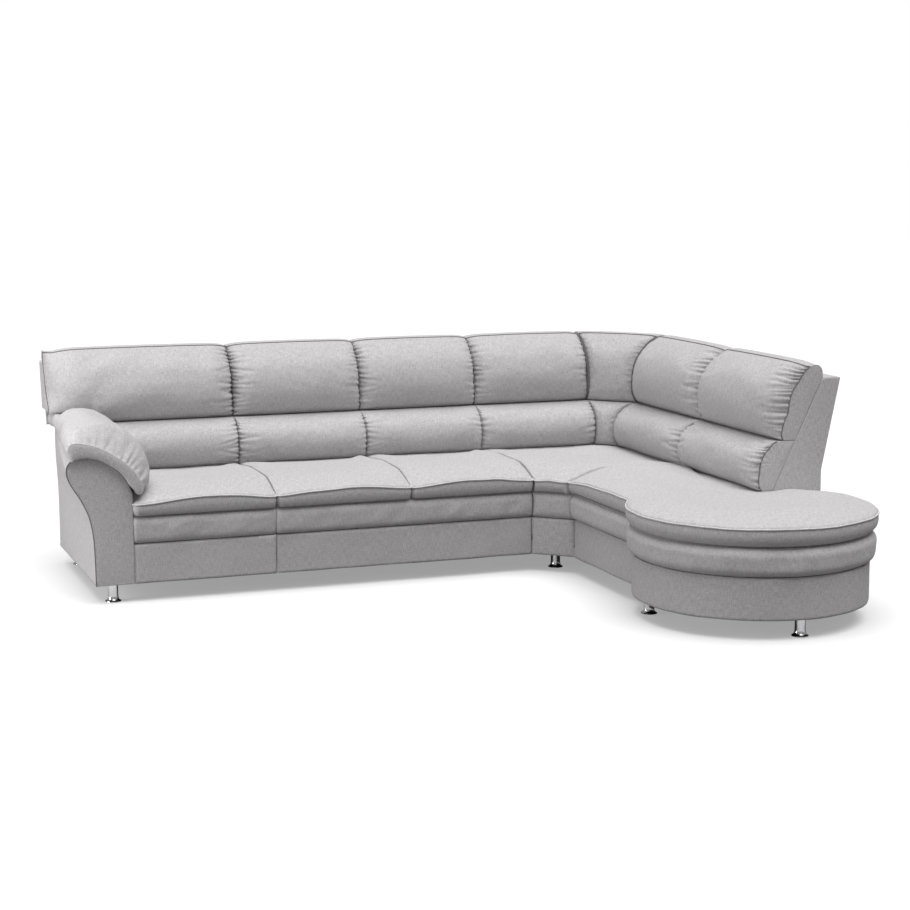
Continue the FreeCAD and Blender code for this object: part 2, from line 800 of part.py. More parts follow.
def corner_band(depth):
    """Plan of a strip along the corner's slanted front."""

    def plan(inset, side):
        first, last = corner_front(inset, side)
        back_first, back_last = corner_front(depth, side)
        points = [first, last, back_last, back_first]
        return points[0], [(point,) for point in points[1:] + points[:1]]

    return plan


def mitred(body, keep_main):
    """The share of a rear cover on one side of the corner's mitre."""
    far = 2 * CORNER_WIDTH
    sign = 1 if keep_main else -1
    points = [(-far, -far), (far, far), (-sign * far, sign * far)]
    corner = [(X_REAR + x, Y_REAR + y) for x, y in points]
    wire = outline(level(0), corner[0], *[(point,) for point in corner[1:]])
    return body.common(prism(wire, vector(0, 0, 2 * BACK_HEIGHT)))


def corner_boards():
    """Rails of the corner's base, with a slanted one behind the front."""
    a = X_CORNER + JOINT
    b = Y_WING + JOINT
    outer = corner_front(FRAME_FRONT, JOINT)
    inner = corner_front(FRAME_FRONT + BOARD, JOINT)
    slant = outline(level(BOARD_BASE), outer[0], (outer[1],), (inner[1],), (inner[0],))
    x_right = X_REAR - SKIN
    y_top = Y_REAR - SKIN
    z = (BOARD_BASE, FRAME_BASE)
    return [
        prism(slant, vector(0, 0, FRAME_BASE - BOARD_BASE)),
        box(a, a + BOARD, inner[0][1], y_top - BOARD, *z),
        box(inner[1][0], x_right - BOARD, b, b + BOARD, *z),
        box(a, x_right, y_top - BOARD, y_top, *z),
        box(x_right - BOARD, x_right, b, y_top - BOARD, *z),
        box(a + BOARD, x_right - BOARD, SEAT_RAIL_Y - BOARD, SEAT_RAIL_Y, *z),
        box(SEAT_RAIL_X - BOARD, SEAT_RAIL_X, b + BOARD, SEAT_RAIL_Y - BOARD, *z),
    ]


def corner_back_frame():
    """Uprights, rails and boards behind the corner's three pairs of back cushions."""
    along = vector(1, 0, 0)
    down = vector(0, -1, 0)
    frame = straight_back_frame(main_back, X_CORNER + JOINT, X_WEDGE, along)
    frame += straight_back_frame(wing_back, Y_WEDGE, Y_WING + JOINT, down)
    frame.append(blended([slanted_board_wire(z) for z in (ROLL_TOP, FRAME_TOP)]))
    reach = SKIN + RAIL_SETBACK + BOARD
    for z0, z1 in ((FRAME_BASE, FRAME_BASE + RAIL_HEIGHT), (RAKE_START - RAIL_HEIGHT, RAKE_START)):
        frame.append(rail(main_back(X_WEDGE), along * (X_REAR - reach - X_WEDGE), z0, z1))
        side = Y_REAR - reach + BOARD - Y_WEDGE
        frame.append(rail(wing_back(Y_WEDGE), vector(0, side, 0), z0, z1))
    return frame


def slanted_board_wire(z):
    """Plan of the board behind the slanted cushions, at a height."""
    depth = frame_depth(z)
    near = (X_WEDGE, Y_REAR - depth), (X_REAR - depth, Y_WEDGE)
    far = (X_REAR - depth + SKIN, Y_WEDGE), (X_WEDGE, Y_REAR - depth + SKIN)
    return outline(level(z), near[0], (near[1],), (far[0],), (far[1],))


def corner_shelf():
    """The covered board that closes the corner behind the slanted cushions."""
    lip = FRAME_TOP_DEPTH
    points = [(X_WEDGE, Y_REAR - lip), (X_REAR - lip, Y_WEDGE), (X_REAR - lip, Y_REAR - lip)]
    wire = outline(level(FRAME_TOP), points[0], *[(point,) for point in points[1:]])
    return prism(wire, vector(0, 0, SKIN))


def corner_section():
    """The corner: its front is cut at a slant, and its back turns through a wedge."""
    band = corner_band(PANEL)
    roll = corner_band(ROLL_DEPTH)
    seat = corner_plan(SEAT_BACK_DEPTH)
    cloth = slab(corner_base_plan, FRAME_FRONT, JOINT, FOOT_HEIGHT, BOARD_BASE)
    belts = [
        box(X_CORNER + JOINT, SEAT_RAIL_X, y, y + BELT_WIDTH, FRAME_BASE, PANEL_TOP)
        for y in spread(ROLL_DEPTH + BOARD, SEAT_RAIL_Y - BOARD)
    ]
    nodes = base_nodes("corner", corner_boards(), belts, cloth, CORNER_FEET)
    nodes["corner_front_panel"] = [layered(band, panel_layers(JOINT))]
    nodes["corner_front_roll"] = [layered(roll, roll_layers())]
    core = slab(seat, ROLL_DEPTH + GAP, JOINT, PANEL_TOP + GAP, ROLL_TOP)
    nodes["corner_seat_core"] = [core]
    nodes["corner_seat_cushion"] = [layered(seat, seat_layers())]
    nodes["corner_back_frame"] = corner_back_frame()
    nodes["corner_shelf"] = [corner_shelf()]
    nodes["corner_left_lumbar_cushion"] = [lumbar_cushion(X_CORNER, X_WEDGE, main_back)]
    nodes["corner_left_head_cushion"] = [head_cushion(X_CORNER, X_WEDGE, main_back)]
    nodes["corner_right_lumbar_cushion"] = [lumbar_cushion(Y_WEDGE, Y_WING, wing_back)]
    nodes["corner_right_head_cushion"] = [head_cushion(Y_WEDGE, Y_WING, wing_back)]
    low, high = wedge_cushions()
    nodes["corner_wedge_lumbar_cushion"] = [low]
    nodes["corner_wedge_head_cushion"] = [high]
    beyond = X_REAR + 2 * RAKE
    main = rear_cover_wire(main_back(X_CORNER + JOINT), FOOT_HEIGHT)
    main = prism(main, vector(beyond - X_CORNER - JOINT, 0, 0))
    side = rear_cover_wire(wing_back(Y_WING + JOINT), FOOT_HEIGHT)
    side = prism(side, vector(0, Y_REAR + 2 * RAKE - Y_WING - JOINT, 0))
    nodes["corner_rear_cover"] = [mitred(main, True), mitred(side, False)]
    return nodes


def wing_boards():
    """Straight rails of the wing's base."""
    b = Y_WING - JOINT
    front = X_WING + FRAME_FRONT
    x_right = X_REAR - SKIN
    z = (BOARD_BASE, FRAME_BASE)
    return [
        box(front, x_right, b - BOARD, b, *z),
        box(front, front + BOARD, Y_END, b - BOARD, *z),
        box(x_right - BOARD, x_right, Y_END, b - BOARD, *z),
        box(SEAT_RAIL_X - BOARD, SEAT_RAIL_X, Y_END, b - BOARD, *z),
        box(SEAT_RAIL_X, x_right - BOARD, Y_END, Y_END + BOARD, *z),
    ]


def bent_rail():
    """The bent rail that follows the hollow and the round end."""
    top = FRAME_BASE
    outer = slab(wing_base_plan, FRAME_FRONT, 0.0, BOARD_BASE, top)
    inner = slab(wing_base_plan, FRAME_FRONT + BOARD, 0.0, BOARD_BASE, top)
    far = box(X_CORNER, X_REAR + ROUND_RADIUS, Y_END, Y_REAR, 0.0, BACK_HEIGHT)
    return outer.cut(inner).cut(far)


def wing_belts():
    """Belts across the wing, and across its round end."""
    belts = []
    front = X_WING + FRAME_FRONT
    for y in spread(Y_END, Y_WING - JOINT):
        belts.append(box(front, SEAT_RAIL_X, y, y + BELT_WIDTH, FRAME_BASE, PANEL_TOP))
    radius = ROUND_RADIUS - FRAME_FRONT
    for y in spread(ROUND_Y - ROUND_RADIUS * 0.72, Y_END):
        farther = max(abs(y - ROUND_Y), abs(y + BELT_WIDTH - ROUND_Y))
        half = math.sqrt(radius**2 - farther**2)
        ends = (ROUND_X - half, ROUND_X + half)
        belts.append(box(*ends, y, y + BELT_WIDTH, FRAME_BASE, PANEL_TOP))
    return belts


def wing_panel():
    """Padded panel along the wing's front and round its end."""
    body = layered(wing_base_plan, panel_layers(JOINT))
    hollow = slab(wing_base_plan, PANEL, -BOARD, FOOT_HEIGHT - 1, PANEL_TOP + 1)
    back = box(SEAT_RAIL_X, X_REAR + RAKE, Y_END, Y_REAR, 0.0, BACK_HEIGHT)
    return body.cut(hollow).cut(back)


def wing_section():
    """The side wing: one seat with a back, then an open round end."""
    stop = Y_END - SIDE_GAP
    seat = wing_seat_plan(SEAT_BACK_DEPTH, stop)
    inner_roll = slab(seat, ROLL_DEPTH, -BOARD, PANEL_TOP, ROLL_TOP + 1)
    cloth = slab(wing_base_plan, FRAME_FRONT, JOINT, FOOT_HEIGHT, BOARD_BASE)
    a = Y_WING - JOINT
    b = Y_END + PANEL
    down = vector(0, -1, 0)
    bent = bent_rail()
    panel = wing_panel()
    nodes = base_nodes("wing", wing_boards(), wing_belts(), cloth, WING_FEET, [bent, panel])
    nodes["wing_bent_rail"] = [bent]
    nodes["wing_front_panel"] = [panel]
    nodes["wing_front_roll"] = [layered(seat, roll_layers()).cut(inner_roll)]
    core = slab(seat, ROLL_DEPTH + GAP, JOINT, PANEL_TOP + GAP, ROLL_TOP)
    nodes["wing_seat_core"] = [core]
    nodes["wing_seat_cushion"] = [layered(seat, seat_layers())]
    nodes["wing_back_frame"] = straight_back_frame(wing_back, a, b, down)
    nodes["wing_lumbar_cushion"] = [lumbar_cushion(Y_WING, Y_END, wing_back)]
    nodes["wing_head_cushion"] = [head_cushion(Y_WING, Y_END, wing_back)]
    cover = rear_cover_wire(wing_back(a), FOOT_HEIGHT)
    nodes["wing_rear_cover"] = [prism(cover, down * (a - b))]
    nodes["wing_end_panel"] = [end_panel(wing_back(Y_END), vector(0, PANEL, 0), PANEL_TOP + GAP)]
    return nodes


def arm_points(y):
    """Section of the arm at a place: flared and rolled at the front, straight at the rear."""
    share = y / Y_REAR
    flare = ARM_FLARE + (ARM_REAR_FLARE - ARM_FLARE) * share
    top = ARM_TOP + (ARM_REAR_TOP - ARM_TOP) * share
    w = ARM_WIDTH
    roll = ARM_ROLL_DROP
    return sampled(
        (0.0, FOOT_HEIGHT),
        ((-w, FOOT_HEIGHT),),
        ((-w - 0.05 * flare, 0.457 * ARM_TOP),),
        ((-w - 0.33 * flare, 0.678 * ARM_TOP), (-w - 0.78 * flare, 0.817 * ARM_TOP)),
        ((-w - flare, top - 0.23 * roll), (-w - 0.8 * flare, top - 0.02 * roll)),
        ((-0.75 * w - 0.1 * flare, top + 0.01 * roll), (-0.3 * w, top - 0.3 * roll)),
        ((-0.1 * w, top - 0.65 * roll), (0.0, top - roll)),
    )


def in_arm(y):
    """Place arm-section points (x, height) at a distance behind the seat front."""
    return lambda x, z: vector(X_ARM + x, y, z)


def arm_core():
    """The arm's outer form."""
    return blended([section(in_arm(y), arm_points(y)) for y in (0.0, Y_REAR)])


def arm_frame_box(grow):
    """The room for the arm's frame, grown on every side."""
    low = X_ARM - ARM_WIDTH + ARM_WALL - grow
    high = X_ARM - ARM_WALL + grow
    front = ARM_WALL - grow
    back = Y_REAR - ARM_WALL + grow
    return box(low, high, front, back, FOOT_HEIGHT - LINING, ARM_FRAME_TOP + grow)


def arm_frame():
    """Boards of the arm's frame: two sides, two ends and a top."""
    low = X_ARM - ARM_WIDTH + ARM_WALL
    high = X_ARM - ARM_WALL
    front = ARM_WALL
    back = Y_REAR - ARM_WALL
    top = ARM_FRAME_TOP - BOARD
    z = (BOARD_BASE, top)
    boards = [
        box(low, low + BOARD, front, back, *z),
        box(high - BOARD, high, front, back, *z),
        box(low + BOARD, high - BOARD, front, front + BOARD, *z),
        box(low + BOARD, high - BOARD, back - BOARD, back, *z),
        box(low, high, front, back, top, ARM_FRAME_TOP),
    ]
    return with_blocks(pocketed(boards), ARM_FEET)


def lifted(points, amount):
    """Points of a line, moved to its left."""
    moved = []
    for i, (x, z) in enumerate(points):
        before = points[max(i - 1, 0)]
        after = points[min(i + 1, len(points) - 1)]
        along = vector(after[0] - before[0], after[1] - before[1]).normalize()
        moved.append((x - along.y * amount, z + along.x * amount))
    return moved


def pad_wire(y, crown, outward, size):
    """Section of the arm cushion, whose lower side follows the top of the arm."""
    bed = lifted(arm_points(y)[-2 * ARC_PARTS - 1 : -1], 2 * GAP)
    edge = ARM_WIDTH + ARM_FLARE
    drop = PAD_DROP
    over = PAD_OVERHANG

    def sized(x, z):
        """A point from the arm's inner face and top, drawn towards the cushion's middle."""
        return -0.4 * edge + (x + 0.4 * edge) * size, ARM_TOP + z * size

    points = sampled(
        bed[0],
        (sized(outward - 1.05 * edge, 0.56 * PAD_RISE), sized(outward - 0.93 * edge, PAD_RISE)),
        (
            sized(0.6 * outward - 0.51 * edge, 0.7 * PAD_RISE + crown),
            sized(-0.5 * over, 0.3 * PAD_RISE + 0.55 * crown),
        ),
        (sized(0.8 * over, -0.2 * drop), sized(over, -0.83 * drop)),
        (sized(0.67 * over, -drop),),
        (bed[-1],),
    )
    return section(in_arm(y), points + bed[-2:0:-1])


def arm_pad():
    """The cushion that rolls over the arm, seated on it and under the back cushion."""
    stops = [
        (-PAD_FRONT, 0.0, 0.0, 0.93),
        (-0.6 * PAD_FRONT, 0.05, 0.0, 0.99),
        (0.04 * Y_REAR, 0.32, 0.08, 1.0),
        (0.235 * Y_REAR, 0.82, 0.28, 1.0),
        (0.46 * Y_REAR, 1.0, 0.48, 1.0),
        (0.66 * Y_REAR, 0.68, 0.68, 1.0),
        (Y_REAR - PAD_REAR, 0.08, 1.0, 1.0),
    ]
    pad = blended([pad_wire(y, PAD_CROWN * up, PAD_LEAN * out, size) for y, up, out, size in stops])
    lumbar_room = box(X_ARM, X_SINGLE, Y_REAR - LUMBAR_DEPTH - GAP, Y_REAR, 0.0, BACK_HEIGHT)
    head_front = Y_REAR - HEAD_DEPTH - GAP
    head_room = box(X_LEFT - RAKE, X_ARM, head_front, Y_REAR, HEAD_OVER_ARM_HEIGHT, BACK_HEIGHT)
    return pad.cut([lumbar_room, head_room])


def arm_section():
    """The arm: a frame in an upholstered body, and the cushion that rolls over it."""
    core = arm_core()
    cloth = arm_frame_box(0.0).common(box(X_LEFT, X_ARM, 0, Y_REAR, FOOT_HEIGHT, BOARD_BASE))
    return {
        "arm_frame": arm_frame(),
        "arm_body": pocketed([core.cut(arm_frame_box(GAP))]),
        "arm_pad": [arm_pad()],
        "underside_cloths": [with_foot_holes(cloth, ARM_FEET)],
    }


def hexagon(x, y, radius):
    """Closed ring of six points round a centre."""
    turns = [math.radians(60 * i) for i in range(7)]
    return [(x + radius * math.cos(a), y + radius * math.sin(a)) for a in turns]


def foot_at(x, y):
    """The pieces of one foot: closed tube, flared plate and the stud in its block."""
    tube = Part.makeCylinder(FOOT_RADIUS, BOARD_BASE - PLATE_HEIGHT, vector(x, y, PLATE_HEIGHT))
    rim = outline(
        lambda r, z: vector(x + r, y, z),
        (0.0, 0.0),
        ((PLATE_RADIUS, 0.0),),
        ((PLATE_RADIUS, PLATE_EDGE),),
        ((FOOT_RADIUS, PLATE_HEIGHT),),
        ((0.0, PLATE_HEIGHT),),
    )
    plate = Part.Face(rim).revolve(vector(x, y, 0), vector(0, 0, 1), 360)
    stud = Part.makePolygon([vector(*point) for point in hexagon(x, y, STUD_RADIUS)])
    stud.translate(vector(0, 0, BOARD_BASE))
    return {
        "foot_tubes": tube,
        "foot_plates": plate,
        "foot_studs": prism(Part.Wire(stud), vector(0, 0, STUD_RISE)),
    }


def feet():
    """All feet, each kind of piece in one node."""
    nodes = {}
    for x, y in ALL_FEET:
        for name, solid in foot_at(x, y).items():
            nodes.setdefault(name, []).append(solid)
    return nodes


def main():
    """Build every node, move it to the sofa's origin and write its file."""
    os.makedirs("parts", exist_ok=True)
    sections = (arm_section, single_section, double_section, corner_section, wing_section, feet)
    nodes = {}
    for build in sections:
        for name, solids in build().items():
            nodes.setdefault(name, []).extend(solids)
    nodes["hook_plates"], nodes["slot_plates"] = joint_plates()
    for name, bodies in nodes.items():
        shape = Part.makeCompound([solid for body in bodies for solid in body.Solids])
        shape.translate(vector(-ORIGIN_X, -ORIGIN_Y))
        shape.exportStep("parts/" + name + ".step")
        print(name, len(shape.Solids), shape.isValid(), round(shape.Volume / 1000), "cm3")


main()
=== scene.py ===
"""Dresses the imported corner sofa: soft cushions, padded base, arm, rear, feet and studio."""

from __future__ import annotations

import json
import logging
import math
from dataclasses import dataclass, field
from enum import Enum
from typing import Sequence

import bpy
import numpy as np
from mathutils import Euler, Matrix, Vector

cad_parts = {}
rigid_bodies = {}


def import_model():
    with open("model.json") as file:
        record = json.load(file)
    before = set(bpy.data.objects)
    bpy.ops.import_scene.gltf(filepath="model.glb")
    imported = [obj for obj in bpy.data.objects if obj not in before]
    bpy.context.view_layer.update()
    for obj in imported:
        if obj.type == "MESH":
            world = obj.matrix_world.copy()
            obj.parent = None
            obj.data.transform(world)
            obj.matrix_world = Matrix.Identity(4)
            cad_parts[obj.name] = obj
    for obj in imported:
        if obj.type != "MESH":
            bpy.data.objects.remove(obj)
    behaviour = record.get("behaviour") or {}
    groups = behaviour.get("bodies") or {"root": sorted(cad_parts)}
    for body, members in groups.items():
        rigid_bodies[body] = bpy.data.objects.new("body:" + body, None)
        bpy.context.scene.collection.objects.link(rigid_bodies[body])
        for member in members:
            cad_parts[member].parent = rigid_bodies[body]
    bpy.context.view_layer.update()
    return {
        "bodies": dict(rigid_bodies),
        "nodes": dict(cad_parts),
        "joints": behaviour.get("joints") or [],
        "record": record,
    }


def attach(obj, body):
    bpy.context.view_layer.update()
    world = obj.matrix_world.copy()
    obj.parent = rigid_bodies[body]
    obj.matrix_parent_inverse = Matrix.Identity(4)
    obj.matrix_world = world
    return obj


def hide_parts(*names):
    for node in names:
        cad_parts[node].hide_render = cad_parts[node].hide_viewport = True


LOG = logging.getLogger("sofa")
Array = np.ndarray
Point = tuple[float, float]
BODY = "root"


@dataclass(frozen=True)
class Layout:
    """Plan and height sizes in metres, from the foot of the arm's inner face."""

    origin_x: float = 1.294
    origin_y: float = -0.2745
    single: float = 0.615
    double_seam: float = 1.223
    corner: float = 1.8
    wing: float = 1.945
    rear_x: float = 2.78
    rear_y: float = 0.937
    wing_y: float = -0.133
    end_y: float = -0.835
    wedge_x: float = 2.392
    wedge_y: float = 0.549
    round_x: float = 2.32
    round_y: float = -1.06
    round_radius: float = 0.48
    hollow_radius: float = 0.09
    floor_gap: float = 0.08
    panel_top: float = 0.25
    roll_top: float = 0.367
    piping: float = 0.424
    seat: float = 0.456
    crown: float = 1.003
    board_top: float = 0.93
    rake_start: float = 0.535
    rake: float = 0.08
    seat_back: float = 0.282
    over_arm: float = -0.218
    over_arm_foot: float = 0.7165
    panel: float = 0.014
    seat_lip: float = -0.026

    def moved(self, points: Array) -> Array:
        """Points moved from the drawing's corner to the sofa's own origin."""
        return points - np.array([self.origin_x, self.origin_y, 0.0])

    def frame_depth(self, z: float) -> float:
        """Distance of the back frame's front from the rear plane at a height."""
        return 0.276 - 0.271 * (z - self.roll_top) / (self.board_top - self.roll_top)

    def rear_depth(self, z: float) -> float:
        """Distance of the raked rear from the rear plane at a height."""
        if z <= self.rake_start:
            return 0.0
        return -self.rake * (z - self.rake_start) / (self.board_top - self.rake_start)


SOFA = Layout()


class Slot(Enum):
    """Material slots of the record."""

    UPHOLSTERY = "upholstery"
    CHROME = "chrome_feet"
    STEEL = "steel_fittings"
    WOOD = "frame_wood"
    LINING = "underside_lining"
    WEBBING = "belt_webbing"
    FOAM = "seat_foam"


# Lines and smooth fields


def distances(line: Array) -> Array:
    """How far along a line each of its points is."""
    return np.concatenate([[0.0], np.cumsum(np.linalg.norm(np.diff(line, axis=0), axis=1))])


def in_rows(values: Array, count: int) -> Array:
    """The same values in each of a number of rows."""
    return np.repeat(values[None, :], count, axis=0)


def clearance(points: Array, line: Array) -> Array:
    """How far each point is from the nearest point of a line."""
    return np.linalg.norm(points[:, None] - line[None], axis=2).min(axis=1)


def resampled(line: Array, count: int) -> Array:
    """Points spaced evenly along a line.

    Args:
        line: Points of the line, one a row.
        count: How many points to return.

    Returns:
        The evenly spaced points.
    """
    run = distances(line)
    want = np.linspace(0.0, run[-1], count)
    return np.stack([np.interp(want, run, line[:, k]) for k in range(line.shape[1])], axis=1)


def curved(points: Sequence[Point], count: int) -> Array:
    """A smooth line through points.

    Args:
        points: Places the line passes through.
        count: How many points to return.

    Returns:
        Evenly spaced points of the line.
    """
    known = np.array(points, float)
    padded = np.vstack([2 * known[0] - known[1], known, 2 * known[-1] - known[-2]])
    fine = []
    t = np.linspace(0.0, 1.0, 14, endpoint=False)[:, None]
    for a, b, c, d in zip(padded, padded[1:], padded[2:], padded[3:]):
        bend = (2 * a - 5 * b + 4 * c - d) * t**2 + (3 * b - a - 3 * c + d) * t**3
        fine.append(0.5 * (2 * b + (c - a) * t + bend))
    return resampled(np.vstack(fine + [known[-1:]]), count)


def arc(centre: Point, radius: float, start: float, end: float, count: int) -> Array:
    """Points of a circle's arc between two angles in radians."""
    turns = np.linspace(start, end, count)
    return np.stack(
        [centre[0] + radius * np.cos(turns), centre[1] + radius * np.sin(turns)], axis=1
    )


def eased(value: Array) -> Array:
    """A smooth step from 0 to 1."""
    t = np.clip(value, 0.0, 1.0)
    return t * t * (3 - 2 * t)


def shoulder(distance: Array, width: float) -> Array:
    """How far a padded face falls away near an edge: 1 at the edge, 0 beyond the width."""
    t = np.clip(distance / width, 0.0, 1.0)
    return 1 - np.sqrt(1 - (1 - t) ** 2)


def spread(length: float, count: int) -> Array:
    """Distances from 0 to a length, closer together near both ends."""
    t = np.linspace(0.0, 1.0, count)
    return length * (0.45 * t + 0.55 * (0.5 - 0.5 * np.cos(math.pi * t)))


@dataclass(frozen=True)
class Unevenness:
    """The slow swelling and sinking of padding, the same on every run."""

    seed: int
    height: float = 0.0022
    wave: float = 0.17

    def at(self, points: Array) -> Array:
        """Heights of the unevenness at points."""
        chance = np.random.default_rng(self.seed)
        total = np.zeros(points.shape[:-1])
        for octave in range(3):
            for _ in range(4):
                direction = chance.normal(size=3)
                direction /= np.linalg.norm(direction)
                length = self.wave * chance.uniform(0.7, 1.4) / 1.9**octave
                phase = chance.uniform(0, 2 * math.pi)
                total += 0.5**octave * np.sin(points @ direction * (2 * math.pi / length) + phase)
        return total * self.height / 2.2


@dataclass(frozen=True)
class Pleats:
    """Small folds that run away from a gathered seam."""

    seed: int
    depth: float = 0.003
    reach: float = 0.06
    pitch: float = 0.024
    width: float = 0.0065

    def at(self, away: Array, along: Array) -> Array:
        """How deep the folds are.

        Args:
            away: Distance from the seam.
            along: Distance along the seam.

        Returns:
            The depth of the folds, with small ridges between them.
        """
        chance = np.random.default_rng(self.seed)
        total = np.zeros(np.broadcast(away, along).shape)
        place = along.min() + self.pitch * 0.4
        while place < along.max():
            reach = self.reach * chance.uniform(0.45, 1.25)
            depth = self.depth * chance.uniform(0.35, 1.15)
            width = self.width * chance.uniform(0.8, 1.3)
            lean = chance.uniform(-0.22, 0.22)
            side = (along - place - lean * away) / width
            fade = np.clip(1 - away / reach, 0.0, 1.0) ** 1.15
            wide = side / (1 + 0.8 * away / reach)
            total += depth * fade * (np.exp(-(wide**2)) - 0.35 * np.exp(-((wide / 2.1) ** 2)))
            place += self.pitch * chance.uniform(0.6, 1.4)
        return total


# Closed soft forms


@dataclass
class Form:
    """A closed surface of rings: grid[i, j] is point j of ring i."""

    grid: Array
    across: Array
    along: Array
    strip_ends: bool = False

    def distance_grids(self) -> list[Array]:
        """The distances across and along at every point."""
        return np.meshgrid(self.across, self.along, indexing="ij")

    def refined(self) -> Form:
        """The same surface with a smooth new point between every two."""
        grid = self.grid
        ends = np.concatenate([2 * grid[:1] - grid[1:2], grid, 2 * grid[-1:] - grid[-2:-1]])
        mid = (9 * (ends[1:-2] + ends[2:-1]) - ends[:-3] - ends[3:]) / 16
        rings = np.empty((2 * len(grid) - 1, *grid.shape[1:]))
        rings[0::2] = grid
        rings[1::2] = mid
        ahead = np.roll(rings, -1, axis=1)
        mid = (9 * (rings + ahead) - np.roll(rings, 1, axis=1) - np.roll(rings, -2, axis=1)) / 16
        step = ahead - rings
        step /= np.maximum(np.linalg.norm(step, axis=2, keepdims=True), 1e-9)
        sharp = np.einsum("ijk,ijk->ij", step, np.roll(step, 1, axis=1)) < 0.8
        beside = sharp | np.roll(sharp, -1, axis=1)
        mid = np.where(beside[..., None], (rings + ahead) / 2, mid)
        full = np.empty((rings.shape[0], 2 * rings.shape[1], 3))
        full[:, 0::2] = rings
        full[:, 1::2] = mid
        across = np.empty(2 * len(self.across) - 1)
        across[0::2] = self.across
        across[1::2] = (self.across[:-1] + self.across[1:]) / 2
        along = np.empty(2 * len(self.along))
        along[0::2] = self.along
        along[1:-1:2] = (self.along[:-1] + self.along[1:]) / 2
        along[-1] = self.along[-1]
        return Form(full, across, along, self.strip_ends)

    def normals(self) -> Array:
        """Outward unit normals of all points."""
        down = np.gradient(self.grid, axis=0)
        around = np.roll(self.grid, -1, axis=1) - np.roll(self.grid, 1, axis=1)
        normal = np.cross(down, around)
        size = np.linalg.norm(normal, axis=2, keepdims=True)
        normal = normal / np.maximum(size, 1e-12)
        return normal if self.outward() else -normal

    def outward(self) -> bool:
        """Whether rings and points run so that the normals point out."""
        a = self.grid[:-1]
        b = np.roll(a, -1, axis=1)
        c = self.grid[1:]
        d = np.roll(c, -1, axis=1)
        middle = self.grid.reshape(-1, 3).mean(axis=0)
        cross = np.cross(c - a, b - a) - np.cross(c - d, b - d)
        return float(np.einsum("ijk,ijk->", cross, (a + b + c + d) / 4 - middle)) > 0

    def pushed(self, amount: Array) -> Form:
        """The surface moved along its normals by an amount at each point."""
        grid = self.grid + self.normals() * amount[..., None]
        return Form(grid, self.across, self.along, self.strip_ends)

    def mesh_object(self, name: str) -> bpy.types.Object:
        """An object of this surface, with both ends closed."""
        rings, points, _ = self.grid.shape
        grid = self.grid if self.outward() else self.grid[:, ::-1]
        ends = np.stack([grid[0].mean(axis=0), grid[-1].mean(axis=0)])
        vertices = SOFA.moved(np.vstack([grid.reshape(-1, 3), ends]))
        i, j = np.meshgrid(np.arange(rings - 1), np.arange(points), indexing="ij")
        k = (j + 1) % points
        quads = np.stack(
            [i * points + j, (i + 1) * points + j, (i + 1) * points + k, i * points + k], axis=-1
        ).reshape(-1, 4)
        if self.strip_ends:
            half = np.arange((points - 1) // 2)
            pairs = np.stack([half, half + 1, points - 2 - half, points - 1 - half], axis=1)
            closing = np.vstack([pairs, (pairs + (rings - 1) * points)[:, ::-1]])
            return mesh_from(name, vertices[:-2], quads.tolist() + closing.tolist())
        turn = np.arange(points)
        following = (turn + 1) % points
        first = rings * points
        last = (rings - 1) * points
        low = np.stack([turn, following, np.full(points, first)], axis=1)
        high = np.stack([last + following, last + turn, np.full(points, first + 1)], axis=1)
        return mesh_from(name, vertices, quads.tolist() + low.tolist() + high.tolist())


def mesh_from(name: str, vertices: Array, faces: list[list[int]]) -> bpy.types.Object:
    """A smooth mesh object with a cloth map in metres.

    Args:
        name: Name of the object.
        vertices: Points in the sofa's frame.
        faces: Point numbers of each face.

    Returns:
        The object, linked to the scene.
    """
    mesh = bpy.data.meshes.new(name)
    mesh.from_pydata(vertices.tolist(), [], faces)
    mesh.polygons.foreach_set("use_smooth", [True] * len(mesh.polygons))
    mesh.update()
    add_cloth_map(mesh)
    piece = bpy.data.objects.new(name, mesh)
    bpy.context.scene.collection.objects.link(piece)
    return piece


def add_cloth_map(mesh: bpy.types.Mesh) -> None:
    """Gives a mesh a UV map in metres, laid flat on each face from its own side."""
    count = len(mesh.polygons)
    normals = np.empty(count * 3)
    mesh.polygons.foreach_get("normal", normals)
    side = np.abs(normals.reshape(-1, 3)).argmax(axis=1)
    sizes = np.empty(count, int)
    mesh.polygons.foreach_get("loop_total", sizes)
    corners = np.empty(len(mesh.loops), int)
    mesh.loops.foreach_get("vertex_index", corners)
    places = np.empty(len(mesh.vertices) * 3)
    mesh.vertices.foreach_get("co", places)
    places = places.reshape(-1, 3)[corners]
    side = np.repeat(side, sizes)
    u = np.where(side == 0, places[:, 1], places[:, 0])
    v = np.where(side == 2, places[:, 1], places[:, 2])
    layer = mesh.uv_layers.new(name="cloth")
    layer.data.foreach_set("uv", np.stack([u, v], axis=1).ravel())


CAP_SHARES = (0.985, 0.93, 0.8, 0.6, 0.35, 0.1)


